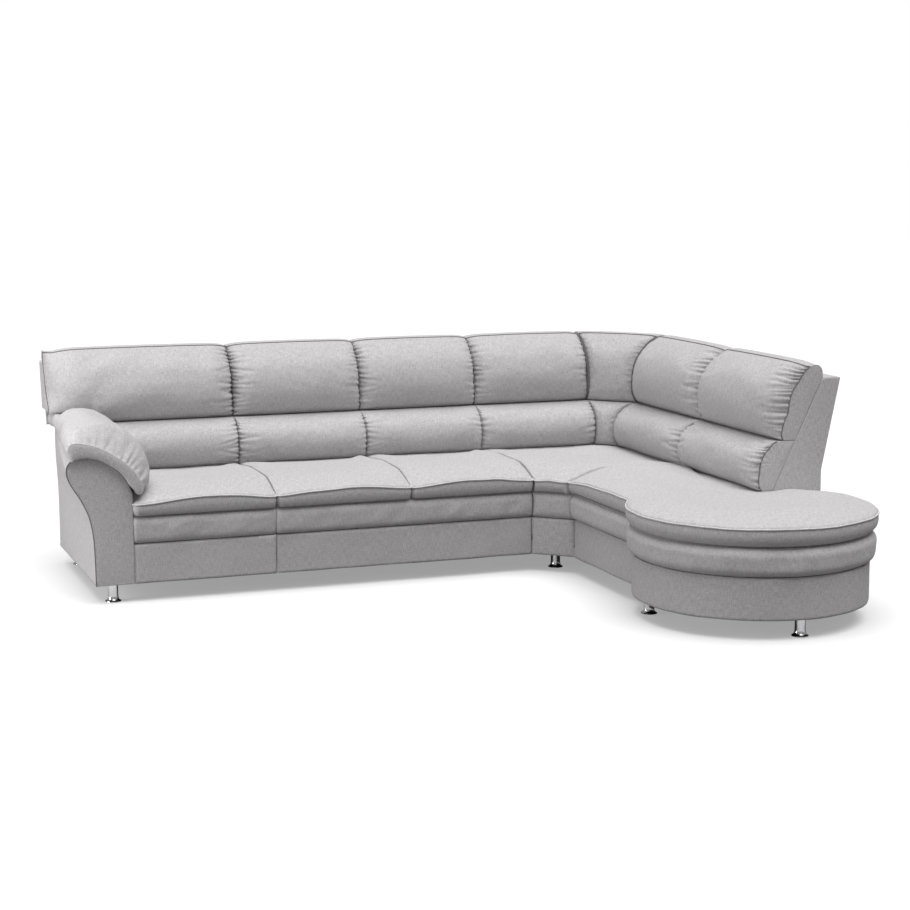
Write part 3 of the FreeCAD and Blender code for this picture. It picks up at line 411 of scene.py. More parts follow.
def capped(
    rings: Array,
    bulge: tuple[float, float] = (0.0, 0.0),
    count: int = len(CAP_SHARES),
    spine: bool = False,
) -> Array:
    """Adds rings that close both ends of a sweep with soft faces.

    Args:
        rings: Rings of the sweep.
        bulge: How far the first and last face swell outwards.
        count: Rings on each end.
        spine: Whether they close on the middle line of a curved band, not on one point.

    Returns:
        All the rings.
    """
    start = []
    end = []
    for rings_there, ring, inner, swell in (
        (start, rings[0], rings[1], bulge[0]),
        (end, rings[-1], rings[-2], bulge[1]),
    ):
        centre = (ring + ring[::-1]) / 2 if spine else ring.mean(axis=0)
        away = (ring - inner).mean(axis=0)
        away /= max(np.linalg.norm(away), 1e-9)
        for share in CAP_SHARES[:count]:
            lift = swell * math.sqrt(1 - share**2)
            rings_there.append(centre + (ring - centre) * share + away * lift)
    return np.concatenate([np.array(start[::-1]), rings, np.array(end)])


def swept(
    rings: Array,
    section: Array,
    run: Array,
    bulge: tuple[float, float] = (0.0, 0.0),
    count: int = len(CAP_SHARES),
    spine: bool = False,
) -> Form:
    """A sweep closed at both ends, with the distances on its surface.

    Args:
        rings: Rings of the sweep.
        section: Line that gives the distances round a ring.
        run: Distance of each ring from the first.
        bulge: How far the first and last face swell outwards.
        count: Rings on each end.
        spine: Whether the ends close on the middle line of a curved band.

    Returns:
        The closed form.
    """
    grid = capped(rings, bulge, count, spine)
    return Form(grid, np.pad(run, count, mode="edge"), distances(section), spine)


# Shader nodes


class Value:
    """A node's socket with the usual arithmetic."""

    def __init__(self, nodes: Nodes, socket: bpy.types.NodeSocket) -> None:
        """Keeps the socket and the tree it is in."""
        self.nodes = nodes
        self.socket = socket

    def _math(self, operation: str, *values: Value | float) -> Value:
        """A Math node on values."""
        inputs = dict(enumerate(values))
        return self.nodes.add("ShaderNodeMath", {"operation": operation}, inputs)

    def __add__(self, other: Value | float) -> Value:
        """Sum of two values."""
        return self._math("ADD", self, other)

    def __radd__(self, other: float) -> Value:
        """Sum with a number on the left."""
        return self._math("ADD", other, self)

    def __sub__(self, other: Value | float) -> Value:
        """Difference of two values."""
        return self._math("SUBTRACT", self, other)

    def __rsub__(self, other: float) -> Value:
        """Difference from a number on the left."""
        return self._math("SUBTRACT", other, self)

    def __mul__(self, other: Value | float) -> Value:
        """Product of two values."""
        return self._math("MULTIPLY", self, other)

    def __rmul__(self, other: float) -> Value:
        """Product with a number on the left."""
        return self._math("MULTIPLY", other, self)

    def __pow__(self, other: float) -> Value:
        """This value to a power."""
        return self._math("POWER", self, other)

    def sine(self) -> Value:
        """Sine of this value."""
        return self._math("SINE", self)

    def cosine(self) -> Value:
        """Cosine of this value."""
        return self._math("COSINE", self)

    def beside(self, output: str) -> Value:
        """Another output of the same node."""
        return Value(self.nodes, self.socket.node.outputs[output])


class Nodes:
    """Adds nodes to one material, world or node group."""

    def __init__(self, tree: bpy.types.NodeTree) -> None:
        """Empties the tree."""
        self.tree = tree
        tree.nodes.clear()

    def add(self, kind: str, settings: dict, inputs: dict, output: int | str = 0) -> Value:
        """Adds one node.

        Args:
            kind: The node's type.
            settings: Its properties, set before its sockets.
            inputs: Values or links of its sockets, by name or number.
            output: The socket that is returned.

        Returns:
            The output socket as a value.
        """
        node = self.tree.nodes.new(kind)
        for name, setting in settings.items():
            if name == "stops":
                ramp = node.color_ramp.elements
                while len(ramp) < len(setting):
                    ramp.new(0.5)
                for element, (place, color) in zip(ramp, setting):
                    element.position = place
                    element.color = (*color, 1.0)
            else:
                setattr(node, name, setting)
        for name, value in inputs.items():
            if isinstance(value, Value):
                self.tree.links.new(value.socket, node.inputs[name])
            else:
                node.inputs[name].default_value = value
        return Value(self, node.outputs[output])

    def noise(self, where: Value, scale: float, detail: float = 2.0) -> Value:
        """A noise value at a place."""
        inputs = {"Vector": where, "Scale": scale, "Detail": detail, "Roughness": 0.55}
        return self.add("ShaderNodeTexNoise", {}, inputs)

    def stretched(self, where: Value, scale: tuple[float, float, float]) -> Value:
        """A place scaled by different amounts along its axes."""
        return self.add("ShaderNodeMapping", {}, {"Vector": where, "Scale": scale})

    def mixed(self, share: Value | float, low: tuple | Value, high: tuple | Value) -> Value:
        """A colour between two others."""
        settings = {"data_type": "RGBA"}
        return self.add("ShaderNodeMix", settings, {0: share, 6: low, 7: high}, 2)

    def bump(self, height: Value, distance: float, strength: float) -> Value:
        """A normal bent by a height."""
        inputs = {"Height": height, "Distance": distance, "Strength": strength}
        return self.add("ShaderNodeBump", {}, inputs)

    def finish(self, kind: str, shader: Value) -> None:
        """Joins a shader to the output of the material or world."""
        self.tree.links.new(shader.socket, self.tree.nodes.new(kind).inputs["Surface"])

    def surface(self, inputs: dict) -> None:
        """Adds the main shader and joins it to the material's output."""
        self.finish("ShaderNodeOutputMaterial", self.add("ShaderNodeBsdfPrincipled", {}, inputs))


def rgba(color: tuple[float, float, float]) -> tuple[float, float, float, float]:
    """A colour with full cover."""
    return (*color, 1.0)


def grey(shade: float) -> tuple[float, float, float, float]:
    """A grey with full cover."""
    return (shade, shade, shade, 1.0)


def new_material(name: str) -> tuple[bpy.types.Material, Nodes]:
    """An empty material and its nodes."""
    material = bpy.data.materials.new(name)
    material.use_nodes = True
    return material, Nodes(material.node_tree)


@dataclass(frozen=True)
class WovenFabric:
    """Melange furnishing fabric: warp and weft slubs of light and dark yarn."""

    name: str = "woven_melange"
    light: tuple[float, float, float] = (0.645, 0.63, 0.637)
    dark: tuple[float, float, float] = (0.42, 0.409, 0.414)
    thread: float = 0.0016

    def material(self) -> bpy.types.Material:
        """The finished material."""
        material, nodes = new_material(self.name)
        cloth = nodes.add("ShaderNodeUVMap", {"uv_map": "cloth"}, {})
        u = nodes.add("ShaderNodeSeparateXYZ", {}, {0: cloth}, "X")
        v = u.beside("Y")
        turn = 2 * math.pi / self.thread
        weave = (u * turn).sine() * (v * turn).sine()
        weft = nodes.noise(nodes.stretched(cloth, (46.0, 320.0, 1.0)), 1.0, 1.0)
        warp = nodes.noise(nodes.stretched(cloth, (310.0, 41.0, 1.0)), 1.0, 1.0)
        speck = nodes.noise(cloth, 700.0, 1.0)
        tone = weft * 0.32 + warp * 0.36 + speck * 0.32
        stops = [(0.38, self.dark), (0.62, self.light)]
        color = nodes.add("ShaderNodeValToRGB", {"stops": stops}, {0: tone})
        height = weave * 0.3 + weft * 0.6 + warp * 0.6 + speck * 0.4
        nodes.surface(
            {
                "Base Color": color,
                "Roughness": 0.92,
                "Specular IOR Level": 0.2,
                "Sheen Weight": 0.08,
                "Sheen Roughness": 0.5,
                "Normal": nodes.bump(height, 0.001, 0.5),
            }
        )
        return material


@dataclass(frozen=True)
class PipingCord:
    """Corded edging of the same yarn as the cover; its default tones are lighter than the fabric as a
    painted highlight on the cord.
    """

    name: str = "piping_cord"
    # default tones: painted highlight, lighter than the fabric, for the seat and arm cushion piping
    light: tuple[float, float, float] = (0.8, 0.78, 0.79)
    dark: tuple[float, float, float] = (0.5, 0.49, 0.495)

    def material(self) -> bpy.types.Material:
        """The finished material."""
        material, nodes = new_material(self.name)
        place = nodes.add("ShaderNodeTexCoord", {}, {}, "Object")
        fine = nodes.noise(place, 900.0, 2.0)
        patch = nodes.noise(place, 160.0, 2.0)
        stops = [(0.36, self.dark), (0.66, self.light)]
        tone = fine * 0.6 + patch * 0.4
        color = nodes.add("ShaderNodeValToRGB", {"stops": stops}, {0: tone})
        normal = nodes.bump(fine, 0.001, 0.6)
        nodes.surface({"Base Color": color, "Roughness": 0.9, "Normal": normal})
        return material


@dataclass(frozen=True)
class Chrome:
    """Polished chrome with fine handling marks."""

    name: str = "polished_chrome"

    def material(self) -> bpy.types.Material:
        """The finished material."""
        material, nodes = new_material(self.name)
        place = nodes.add("ShaderNodeTexCoord", {}, {}, "Object")
        marks = nodes.noise(nodes.stretched(place, (60.0, 60.0, 900.0)), 1.0, 3.0)
        haze = nodes.noise(place, 35.0, 2.0)
        color = nodes.mixed(haze, rgba((0.74, 0.74, 0.76)), rgba((0.84, 0.84, 0.85)))
        nodes.surface(
            {
                "Base Color": color,
                "Metallic": 1.0,
                "Roughness": 0.07 + haze * 0.08,
                "Normal": nodes.bump(marks, 0.0002, 0.25),
            }
        )
        return material


@dataclass(frozen=True)
class Grain:
    """Planed wood with long growth lines."""

    name: str = "frame_timber"
    light: tuple[float, float, float] = (0.62, 0.44, 0.27)
    dark: tuple[float, float, float] = (0.42, 0.27, 0.15)

    def material(self) -> bpy.types.Material:
        """The finished material."""
        material, nodes = new_material(self.name)
        place = nodes.add("ShaderNodeTexCoord", {}, {}, "Object")
        bend = nodes.noise(place, 4.0, 2.0)
        rings = nodes.noise(nodes.stretched(place, (3.0, 3.0, 60.0)), 1.0, 4.0)
        pores = nodes.noise(nodes.stretched(place, (25.0, 25.0, 500.0)), 1.0, 2.0)
        tone = rings * 0.6 + pores * 0.25 + bend * 0.15
        color = nodes.mixed(tone, rgba(self.dark), rgba(self.light))
        normal = nodes.bump(pores, 0.0006, 0.4)
        nodes.surface({"Base Color": color, "Roughness": 0.5 + pores * 0.2, "Normal": normal})
        return material


@dataclass(frozen=True)
class Textile:
    """A plain inner textile or foam, told apart by its colour and texture size."""

    name: str
    color: tuple[float, float, float]
    scale: float
    roughness: float = 0.9

    def material(self) -> bpy.types.Material:
        """The finished material."""
        material, nodes = new_material(self.name)
        place = nodes.add("ShaderNodeTexCoord", {}, {}, "Object")
        fine = nodes.noise(place, self.scale, 3.0)
        dark = tuple(0.72 * part for part in self.color)
        color = nodes.mixed(fine, rgba(dark), rgba(self.color))
        normal = nodes.bump(fine, 0.001, 0.5)
        nodes.surface({"Base Color": color, "Roughness": self.roughness, "Normal": normal})
        return material


@dataclass(frozen=True)
class ZincPlate:
    """Zinc-plated steel with a crystalline haze."""

    name: str = "zinc_plate"

    def material(self) -> bpy.types.Material:
        """The finished material."""
        material, nodes = new_material(self.name)
        place = nodes.add("ShaderNodeTexCoord", {}, {}, "Object")
        haze = nodes.noise(place, 180.0, 3.0)
        color = nodes.mixed(haze, rgba((0.48, 0.49, 0.5)), rgba((0.66, 0.66, 0.66)))
        normal = nodes.bump(haze, 0.0003, 0.3)
        inputs = {"Base Color": color, "Metallic": 1.0, "Roughness": 0.3 + haze * 0.2}
        nodes.surface({**inputs, "Normal": normal})
        return material


@dataclass
class Finishes:
    """All materials of the sofa, made once."""

    fabric: bpy.types.Material
    # light cord: its colour holds a painted highlight
    piping: bpy.types.Material
    # darker copy of the piping cord: painted shade for the back and arm front piping
    painted_shade_piping: bpy.types.Material
    chrome: bpy.types.Material
    inside: dict[Slot, bpy.types.Material]

    @staticmethod
    def made() -> Finishes:
        """Builds every material."""
        inside = {
            Slot.STEEL: ZincPlate().material(),
            Slot.WOOD: Grain().material(),
            Slot.LINING: Textile("spun_lining", (0.05, 0.05, 0.055), 700.0).material(),
            Slot.WEBBING: Textile("elastic_webbing", (0.2, 0.18, 0.16), 900.0).material(),
            Slot.FOAM: Textile("cushion_foam", (0.8, 0.74, 0.55), 450.0).material(),
        }
        fabric = WovenFabric().material()
        # light cord for the seat and arm cushion piping: painted highlight in its colour
        piping = PipingCord().material()
        # the back's cord is a darker copy of the same cord: its colour is painted shade
        painted_shade = PipingCord("back_piping_painted_shade", (0.26, 0.255, 0.26), (0.12, 0.118, 0.12)).material()
        return Finishes(fabric, piping, painted_shade, Chrome().material(), inside)


# Piping made with geometry nodes


@dataclass
class PipingTree:
    """Geometry nodes that turn a seam line into a twisted piping cord."""

    material: bpy.types.Material
    step: float = 0.005
    twist: float = 260.0
    sides: int = 9
    strands: int = 3
    lobe: float = 0.12

    def tree(self) -> bpy.types.NodeTree:
        """The node tree, with the cord's radius as its input."""
        tree = bpy.data.node_groups.new("piping_cord", "GeometryNodeTree")
        for name, way, kind in (
            ("Seams", "INPUT", "NodeSocketGeometry"),
            ("Radius", "INPUT", "NodeSocketFloat"),
            ("Cord", "OUTPUT", "NodeSocketGeometry"),
        ):
            tree.interface.new_socket(name, in_out=way, socket_type=kind)
        nodes = Nodes(tree)
        seams = nodes.add("NodeGroupInput", {}, {}, "Seams")
        inputs = {"Curve": seams, "Length": self.step}
        even = nodes.add("GeometryNodeResampleCurve", {"mode": "LENGTH"}, inputs, "Curve")
        turn = nodes.add("GeometryNodeSplineParameter", {}, {}, "Length") * self.twist
        tilted = nodes.add("GeometryNodeSetCurveTilt", {}, {"Curve": even, "Tilt": turn}, "Curve")
        inputs = {"Resolution": self.sides, "Radius": seams.beside("Radius")}
        circle = nodes.add("GeometryNodeCurvePrimitiveCircle", {}, inputs, "Curve")
        number = nodes.add("GeometryNodeInputIndex", {}, {})
        lobe = (number * (2 * math.pi / self.strands)).cosine() * self.lobe + 1.0
        inputs = {0: nodes.add("GeometryNodeInputPosition", {}, {}), "Scale": lobe}
        scaled = nodes.add("ShaderNodeVectorMath", {"operation": "SCALE"}, inputs, "Vector")
        inputs = {"Geometry": circle, "Position": scaled}
        shaped = nodes.add("GeometryNodeSetPosition", {}, inputs, "Geometry")
        inputs = {"Curve": tilted, "Profile Curve": shaped, "Fill Caps": True}
        cord = nodes.add("GeometryNodeCurveToMesh", {}, inputs, "Mesh")
        cord = nodes.add("GeometryNodeRealizeInstances", {}, {"Geometry": cord}, "Geometry")
        inputs = {"Geometry": cord, "Material": self.material}
        cord = nodes.add("GeometryNodeSetMaterial", {}, inputs, "Geometry")
        tree.links.new(cord.socket, tree.nodes.new("NodeGroupOutput").inputs["Cord"])
        return tree


@dataclass
class Upholsterer:
    """Makes soft pieces and their piping, and attaches them to the sofa's body."""

    finishes: Finishes
    cord_tree: bpy.types.NodeTree = field(init=False)
    painted_shade_tree: bpy.types.NodeTree = field(init=False)

    def __post_init__(self) -> None:
        """Prepares the piping trees."""
        self.cord_tree = PipingTree(self.finishes.piping).tree()
        self.painted_shade_tree = PipingTree(self.finishes.painted_shade_piping).tree()

    def cover(
        self, form: Form, name: str, nodes: Sequence[str], fill: float | None = 0.6
    ) -> bpy.types.Object:
        """Makes one upholstered piece that stands for CAD nodes.

        Args:
            form: The closed surface.
            name: Name of the piece.
            nodes: CAD nodes that it replaces.
            fill: Not used; how full the padding is, or None for a covered board.

        Returns:
            The finished piece.
        """
        piece = form.mesh_object(name)
        piece.data.materials.append(self.finishes.fabric)
        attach(piece, BODY)
        if nodes:
            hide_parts(*nodes)
        LOG.info("%s: %d faces", name, len(piece.data.polygons))
        return piece

    def piping(
        self, name: str, seams: Sequence[Array], radius: float = 0.0032, painted_shade: bool = False
    ) -> None:
        """Lays a piping cord along seam lines.

        Args:
            name: Name of the piece.
            seams: Lines of points in the drawing's frame.
            radius: The cord's radius.
            painted_shade: Whether it is the darker copy of the cord, whose colour is painted shade,
                for the back's piping.
        """
        curve = bpy.data.curves.new(name, "CURVE")
        curve.dimensions = "3D"
        for seam in seams:
            line = SOFA.moved(seam)
            spline = curve.splines.new("POLY")
            spline.points.add(len(line) - 1)
            flat = np.hstack([line, np.ones((len(line), 1))])
            spline.points.foreach_set("co", flat.ravel())
        holder = bpy.data.objects.new(name + "_seam", curve)
        bpy.context.scene.collection.objects.link(holder)
        modifier = holder.modifiers.new("cord", "NODES")
        # the darker tree gives the cord with painted shade in its colour
        modifier.node_group = self.painted_shade_tree if painted_shade else self.cord_tree
        for item in modifier.node_group.interface.items_tree:
            if item.name == "Radius":
                modifier[item.identifier] = radius
        graph = bpy.context.evaluated_depsgraph_get()
        mesh = bpy.data.meshes.new_from_object(holder.evaluated_get(graph))
        bpy.data.objects.remove(holder)
        mesh.name = name
        mesh.polygons.foreach_set("use_smooth", [True] * len(mesh.polygons))
        piece = bpy.data.objects.new(name, mesh)
        bpy.context.scene.collection.objects.link(piece)
        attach(piece, BODY)


FABRIC_CLOTH = {
    "quality": 4,
    "mass": 0.3,
    "tension_stiffness": 12,
    "compression_stiffness": 12,
    "bending_stiffness": 10,
    "use_pressure": True,
    "shrink_min": -0.02,
}


@dataclass(frozen=True)
class Inflation:
    """Blows a soft form up as sewn cloth, held at its seams."""

    pressure: float = 3.0
    frames: int = 16
    cap: float = 0.008
    smoothing: int = 10

    def applied(self, form: Form, held: Array) -> Form:
        """Simulates the cloth and keeps its shape.

        Args:
            form: The form before it is stuffed.
            held: True where the cloth is sewn down.

        Returns:
            The stuffed form.
        """
        piece = form.mesh_object("stuffing")
        flipped = not form.outward()
        pins = piece.vertex_groups.new(name="sewn")
        mask = held[:, ::-1] if flipped else held
        numbers = np.flatnonzero(mask.ravel()).tolist()
        numbers += list(range(mask.size, len(piece.data.vertices)))
        pins.add(numbers, 1.0, "REPLACE")
        cloth = piece.modifiers.new("cloth", "CLOTH")
        for name, value in FABRIC_CLOTH.items():
            setattr(cloth.settings, name, value)
        cloth.settings.uniform_pressure_force = self.pressure
        cloth.settings.vertex_group_mass = pins.name
        cloth.settings.effector_weights.gravity = 0
        cloth.collision_settings.use_collision = False
        scene = bpy.context.scene
        cloth.point_cache.frame_end = self.frames
        for frame in range(1, self.frames + 1):
            scene.frame_set(frame)
        graph = bpy.context.evaluated_depsgraph_get()
        mesh = piece.evaluated_get(graph).to_mesh()
        places = np.empty(len(mesh.vertices) * 3)
        mesh.vertices.foreach_get("co", places)
        places = places.reshape(-1, 3)[: mask.size].reshape(form.grid.shape)
        if flipped:
            places = places[:, ::-1]
        offset = np.array([SOFA.origin_x, SOFA.origin_y, 0.0])
        moved = places + offset - form.grid
        far = np.linalg.norm(moved, axis=2, keepdims=True)
        moved *= np.minimum(1.0, self.cap / np.maximum(far, 1e-9))
        for _ in range(self.smoothing):
            moved[1:-1] = (moved[:-2] + 2 * moved[1:-1] + moved[2:]) / 4
            moved = (np.roll(moved, 1, axis=1) + 2 * moved + np.roll(moved, -1, axis=1)) / 4
        moved[held] = 0.0
        bpy.data.objects.remove(piece)
        scene.frame_set(1)
        return Form(form.grid + moved, form.across, form.along, form.strip_ends)


# Sweeps: a section carried along a line on plan


@dataclass(frozen=True)
class Track:
    """A line on plan with the direction into the sofa at each place."""

    base: Array
    inward: Array

    @staticmethod
    def between(a: Point, a_in: Point, b: Point, b_in: Point, count: int) -> Track:
        """A straight track whose two ends may be mitred.

        Args:
            a: Start of the line.
            a_in: Step inwards at the start for one metre of depth.
            b: End of the line.
            b_in: Step inwards at the end.
            count: How many stations.

        Returns:
            The track.
        """
        share = spread(1.0, count)[:, None]
        base = np.array(a) + (np.array(b) - np.array(a)) * share
        inward = np.array(a_in) + (np.array(b_in) - np.array(a_in)) * share
        return Track(base, inward)

    @staticmethod
    def along_line(line: Array) -> Track:
        """A track along a curved line, with the inside on its left."""
        step = np.gradient(line, axis=0)
        step /= np.linalg.norm(step, axis=1, keepdims=True)
        return Track(line, np.stack([-step[:, 1], step[:, 0]], axis=1))

    def run(self) -> Array:
        """Distance of each station along the track."""
        return distances(self.base)

    def rings(self, depth: Array, height: Array) -> Array:
        """Rings of points with a depth and height at each station."""
        plan = self.base[:, None, :] + self.inward[:, None, :] * depth[..., None]
        return np.concatenate([plan, height[..., None]], axis=2)


FORWARD = (0.0, -1.0)
LEFTWARD = (-1.0, 0.0)


def main_track(x0: float, x1: float, y: float, into: float, count: int) -> Track:
    """A track along the long side, whose depth runs forwards (-1) or backwards (1)."""
    return Track.between((x0, y), (0.0, into), (x1, y), (0.0, into), count)


def side_track(start: float, end: float, count: int) -> Track:
    """Rear line of the wing, between two places along it."""
    x = SOFA.rear_x
    return Track.between((x, start), LEFTWARD, (x, end), LEFTWARD, count)


def corner_front_track(gap: float, count: int) -> Track:
    """The corner's slanted front, mitred to its neighbours."""
    run = SOFA.wing - SOFA.corner
    drop = -SOFA.wing_y
    length = math.hypot(run, drop)
    a = (SOFA.corner + gap, -gap * drop / run)
    b = (SOFA.wing - gap * run / drop, SOFA.wing_y + gap)
    return Track.between(a, (0.0, length / run), b, (length / drop, 0.0), count)


def wing_front_line(start_y: float, end_angle: float, count: int) -> Array:
    """The wing's front edge on plan: straight, through the hollow, then round the end.

    Args:
        start_y: Where the straight part starts.
        end_angle: Angle round the open end where the line stops.
        count: How many points to return.

    Returns:
        Evenly spaced points.
    """
    hollow_x = SOFA.wing - SOFA.hollow_radius
    reach = SOFA.round_radius + SOFA.hollow_radius
    hollow_y = SOFA.round_y + math.sqrt(reach**2 - (hollow_x - SOFA.round_x) ** 2)
    turn = math.atan2(hollow_y - SOFA.round_y, hollow_x - SOFA.round_x)
    straight = np.array([(SOFA.wing, start_y), (SOFA.wing, hollow_y)])
    hollow = arc((hollow_x, hollow_y), SOFA.hollow_radius, 0.0, turn - math.pi, 24)
    end = arc((SOFA.round_x, SOFA.round_y), SOFA.round_radius, turn, end_angle, 160)
    return resampled(np.vstack([straight, hollow[1:], end[1:]]), count)


# Back cushions


class Level(Enum):
    """The two levels of back cushions."""

    LUMBAR = "lumbar"
    HEAD = "head"


@dataclass(frozen=True)
class BackPlace:
    """One place in the back, with how its two ends are made."""

    prefix: str
    track: Track
    seed: int
    folds: tuple[float, float] = (0.0042, 0.0042)
    draw: tuple[float, float] = (0.052, 0.052)
    open_end: tuple[bool, bool] = (False, False)
    over_arm: bool = False


@dataclass
class BackCushions:
    """The seven places of back cushions: a lumbar cushion and a head cushion each."""

    shop: Upholsterer
    shoulder_width: float = 0.075
    front_points: int = 44
    stuffing: Inflation = Inflation()
    end_swell: float = 0.008
    middle_swell: float = 0.005
    lumbar_draw: float = 0.62
    top_sink: float = 0.013
    head_foot: float = 0.6695
    head_bend: float = 0.934
    lumbar_top: float = 0.667
    rear_gap: float = 0.002

    def head_outline(self) -> tuple[Array, Array, int]:
        """Section of a head cushion: points, share of the draw, and the front's last point."""
        front = curved(
            [(0.196, self.head_foot), (0.223, 0.684), (0.244, 0.722), (0.2545, 0.775),
             (0.251, 0.832), (0.231, 0.889), (0.199, 0.935), (0.156, 0.972), (0.113, 0.994)],
            self.front_points,
        )
        top = curved(
            [(0.113, 0.994), (0.085, 1.0), (0.05, 0.997), (0.022, 0.975), (0.0075, self.head_bend)],
            12,
        )
        foot = SOFA.frame_depth(self.head_foot) + self.rear_gap
        back = resampled(np.array([(0.0075, self.head_bend), (foot, self.head_foot)]), 14)
        base = resampled(np.array([(foot, self.head_foot), (0.196, self.head_foot)]), 8)
        return self._joined(front, top, back, base, (0.12, 1.0, 1.0, 0.5))

    def lumbar_outline(self) -> tuple[Array, Array, int]:
        """Section of a lumbar cushion, as for the head cushion."""
        foot = SOFA.seat + 0.0015
        front = curved(
            [(0.29, foot), (0.318, 0.473), (0.338, 0.513), (0.343, 0.558),
             (0.331, 0.603), (0.303, 0.638), (0.262, 0.6605), (0.226, self.lumbar_top)],
            self.front_points - 6,
        )
        high = SOFA.frame_depth(self.lumbar_top) + self.rear_gap
        low = SOFA.frame_depth(foot) + self.rear_gap
        top = resampled(np.array([(0.226, self.lumbar_top), (high, self.lumbar_top)]), 10)
        back = resampled(np.array([(high, self.lumbar_top), (low, foot)]), 12)
        base = resampled(np.array([(low, foot), (0.29, foot)]), 8)
        return self._joined(front, top, back, base, (0.2, 0.85, 0.9, 0.25))

    def _joined(
        self, front: Array, top: Array, back: Array, base: Array, pull: tuple[float, ...]
    ) -> tuple[Array, Array, int]:
        """Joins four parts of a section and says how far each point is drawn in."""
        stops = (0.0, 0.35, 0.72, 1.0)
        share = np.interp(np.linspace(0.0, 1.0, len(front)), stops, pull)
        fade = np.linspace(pull[3], 0.0, len(top))
        rise = np.linspace(0.0, pull[0], len(base))
        line = np.vstack([front, top[1:], back[1:], base[1:-1]])
        draw = np.concatenate([share, fade[1:], np.zeros(len(back) - 1), rise[1:-1]])
        return line, draw, len(front) - 1

    def build(self, place: BackPlace) -> None:
        """Makes both cushions of one place."""
        for level in Level:
            self.cushion(place, level)

    def cushion(self, place: BackPlace, level: Level) -> None:
        """Makes one cushion and its piping."""
        head = level is Level.HEAD
        line, pull, last = self.head_outline() if head else self.lumbar_outline()
        run = place.track.run()
        length = run[-1]
        to_ends = (run, length - run)
        draw = np.zeros(len(run))
        for away, depth in zip(to_ends, place.draw):
            depth = depth if head else depth * self.lumbar_draw
            draw += depth * shoulder(away, self.shoulder_width * (0.6 + depth * 9))
        depth = line[None, :, 0] - draw[:, None] * pull[None, :]
        height = in_rows(line[:, 1], len(run))
        swell = self.middle_swell * np.sin(math.pi * run / length)
        depth = depth + swell[:, None] * np.minimum(pull, 1.0)[None, :]
        if head:
            top = eased((height - 0.85) / 0.15)
            sink = np.minimum(draw * 0.22, self.top_sink)
            sink += 0.003 * (1 - swell / self.middle_swell)
            height = height - top * sink[:, None]
            if place.over_arm:
                height = self._raised_over_arm(place.track, height)
        rings = place.track.rings(depth, height)
        bulge = tuple(self.end_swell if is_open else 0.0 for is_open in place.open_end)
        extra = len(CAP_SHARES)
        form = swept(rings, line, run, bulge)
        held = np.ones(form.grid.shape[:2], bool)
        held[extra + 1 : -extra - 1, 2 : last - 1] = False
        form = self.stuffing.applied(form, held)
        seams = self._seam_lines(form, extra, last, place, head)
        form = self._folded(form.refined(), extra, last, place, level)
        name = f"{place.prefix}_{level.value}_cushion"
        self.shop.cover(form, name + "_soft", [name], 0.7)
        if seams:
            # the back piping takes the darker cord, whose colour is painted shade
            self.shop.piping(name + "_piping", seams, 0.003, True)

    def _raised_over_arm(self, track: Track, height: Array) -> Array:
        """Lifts the lower edge where the cushion runs on over the arm."""
        x = track.base[:, 0]
        lift = (SOFA.over_arm_foot - self.head_foot) * eased((0.012 - x) / 0.05)
        share = np.clip((0.86 - height) / (0.86 - self.head_foot), 0.0, 1.0)
        return height + lift[:, None] * share

    def _seam_lines(
        self, form: Form, extra: int, last: int, place: BackPlace, head: bool
    ) -> list[Array]:
        """Lines of the piped seams of a cushion."""
        body = form.grid[extra:-extra]
        sides = (body[0, 1:last], body[-1, 1:last])
        if head:
            return [np.vstack([sides[0], body[:, last], sides[1][::-1]])]
        return [side for side, is_open in zip(sides, place.open_end) if is_open]

    def _folded(self, form: Form, extra: int, last: int, place: BackPlace, level: Level) -> Form:
        """Adds folds at the side seams and the slow unevenness of the padding."""
        length = form.across[-1]
        front = 2 * last
        along = form.along[None, :]
        depth = np.zeros(form.grid.shape[:2])
        seed = place.seed + (50 if level is Level.HEAD else 0)
        for side, (away, fold) in enumerate(
            zip((form.across, length - form.across), place.folds)
        ):
            pleats = Pleats(seed * 7 + side, depth=fold, reach=0.05 + 6 * fold, pitch=0.022)
            depth += pleats.at(away[:, None], along)
        seam = Pleats(seed * 11 + 3, depth=0.0012, reach=0.035, pitch=0.045, width=0.009)
        across, along = form.distance_grids()
        depth += seam.at(along, across)
        window = np.zeros(form.grid.shape[1])
        window[2 : front - 1] = 1.0
        rings = 2 * extra
        mask = in_rows(window, len(form.grid))
        mask[:rings] = 0.0
        mask[-rings:] = 0.0
        uneven = Unevenness(seed, 0.0015).at(form.grid)
        edge = np.minimum(1.0, np.minimum(form.across, length - form.across) / 0.05)
        ends = np.minimum(1.0, np.minimum(form.along, abs(form.along[front] - form.along)) / 0.04)
        calm = edge[:, None] * ends[None, :]
        form = form.pushed((uneven * calm - depth) * mask)
        for side, is_open in enumerate(place.open_end):
            if is_open:
                form = self._folded_side(form, extra, last, side, seed)
        return form

    def _folded_side(self, form: Form, extra: int, last: int, side: int, seed: int) -> Form:
        """Adds the gathers of an open end's side panel."""
        rings = 2 * extra
        count = len(form.grid)
        inner = np.arange(rings) if side == 0 else np.arange(count - rings, count)
        edge = form.grid[rings if side == 0 else count - 1 - rings]
        away = np.linalg.norm(form.grid[inner] - edge[None], axis=2)
        pleats = Pleats(seed * 5 + 1, depth=0.0028, reach=0.06, pitch=0.03)
        depth = np.zeros(form.grid.shape[:2])
        share = np.zeros(form.grid.shape[1])
        share[4 : 2 * last - 3] = 1.0
        depth[inner] = pleats.at(away, in_rows(form.along, len(inner))) * share
        return form.pushed(-depth)


# Seat cushions


@dataclass(frozen=True)
class SeatPlan:
    """Outline of a seat on plan, starting at its front, with the kind of each edge."""

    name: str
    front: Array
    sides: tuple[Array, Array]
    rear: Array
    centre: Point
    seed: int
    wave: float = 0.0022
    belly: float = 0.45
    puff: float = 0.001


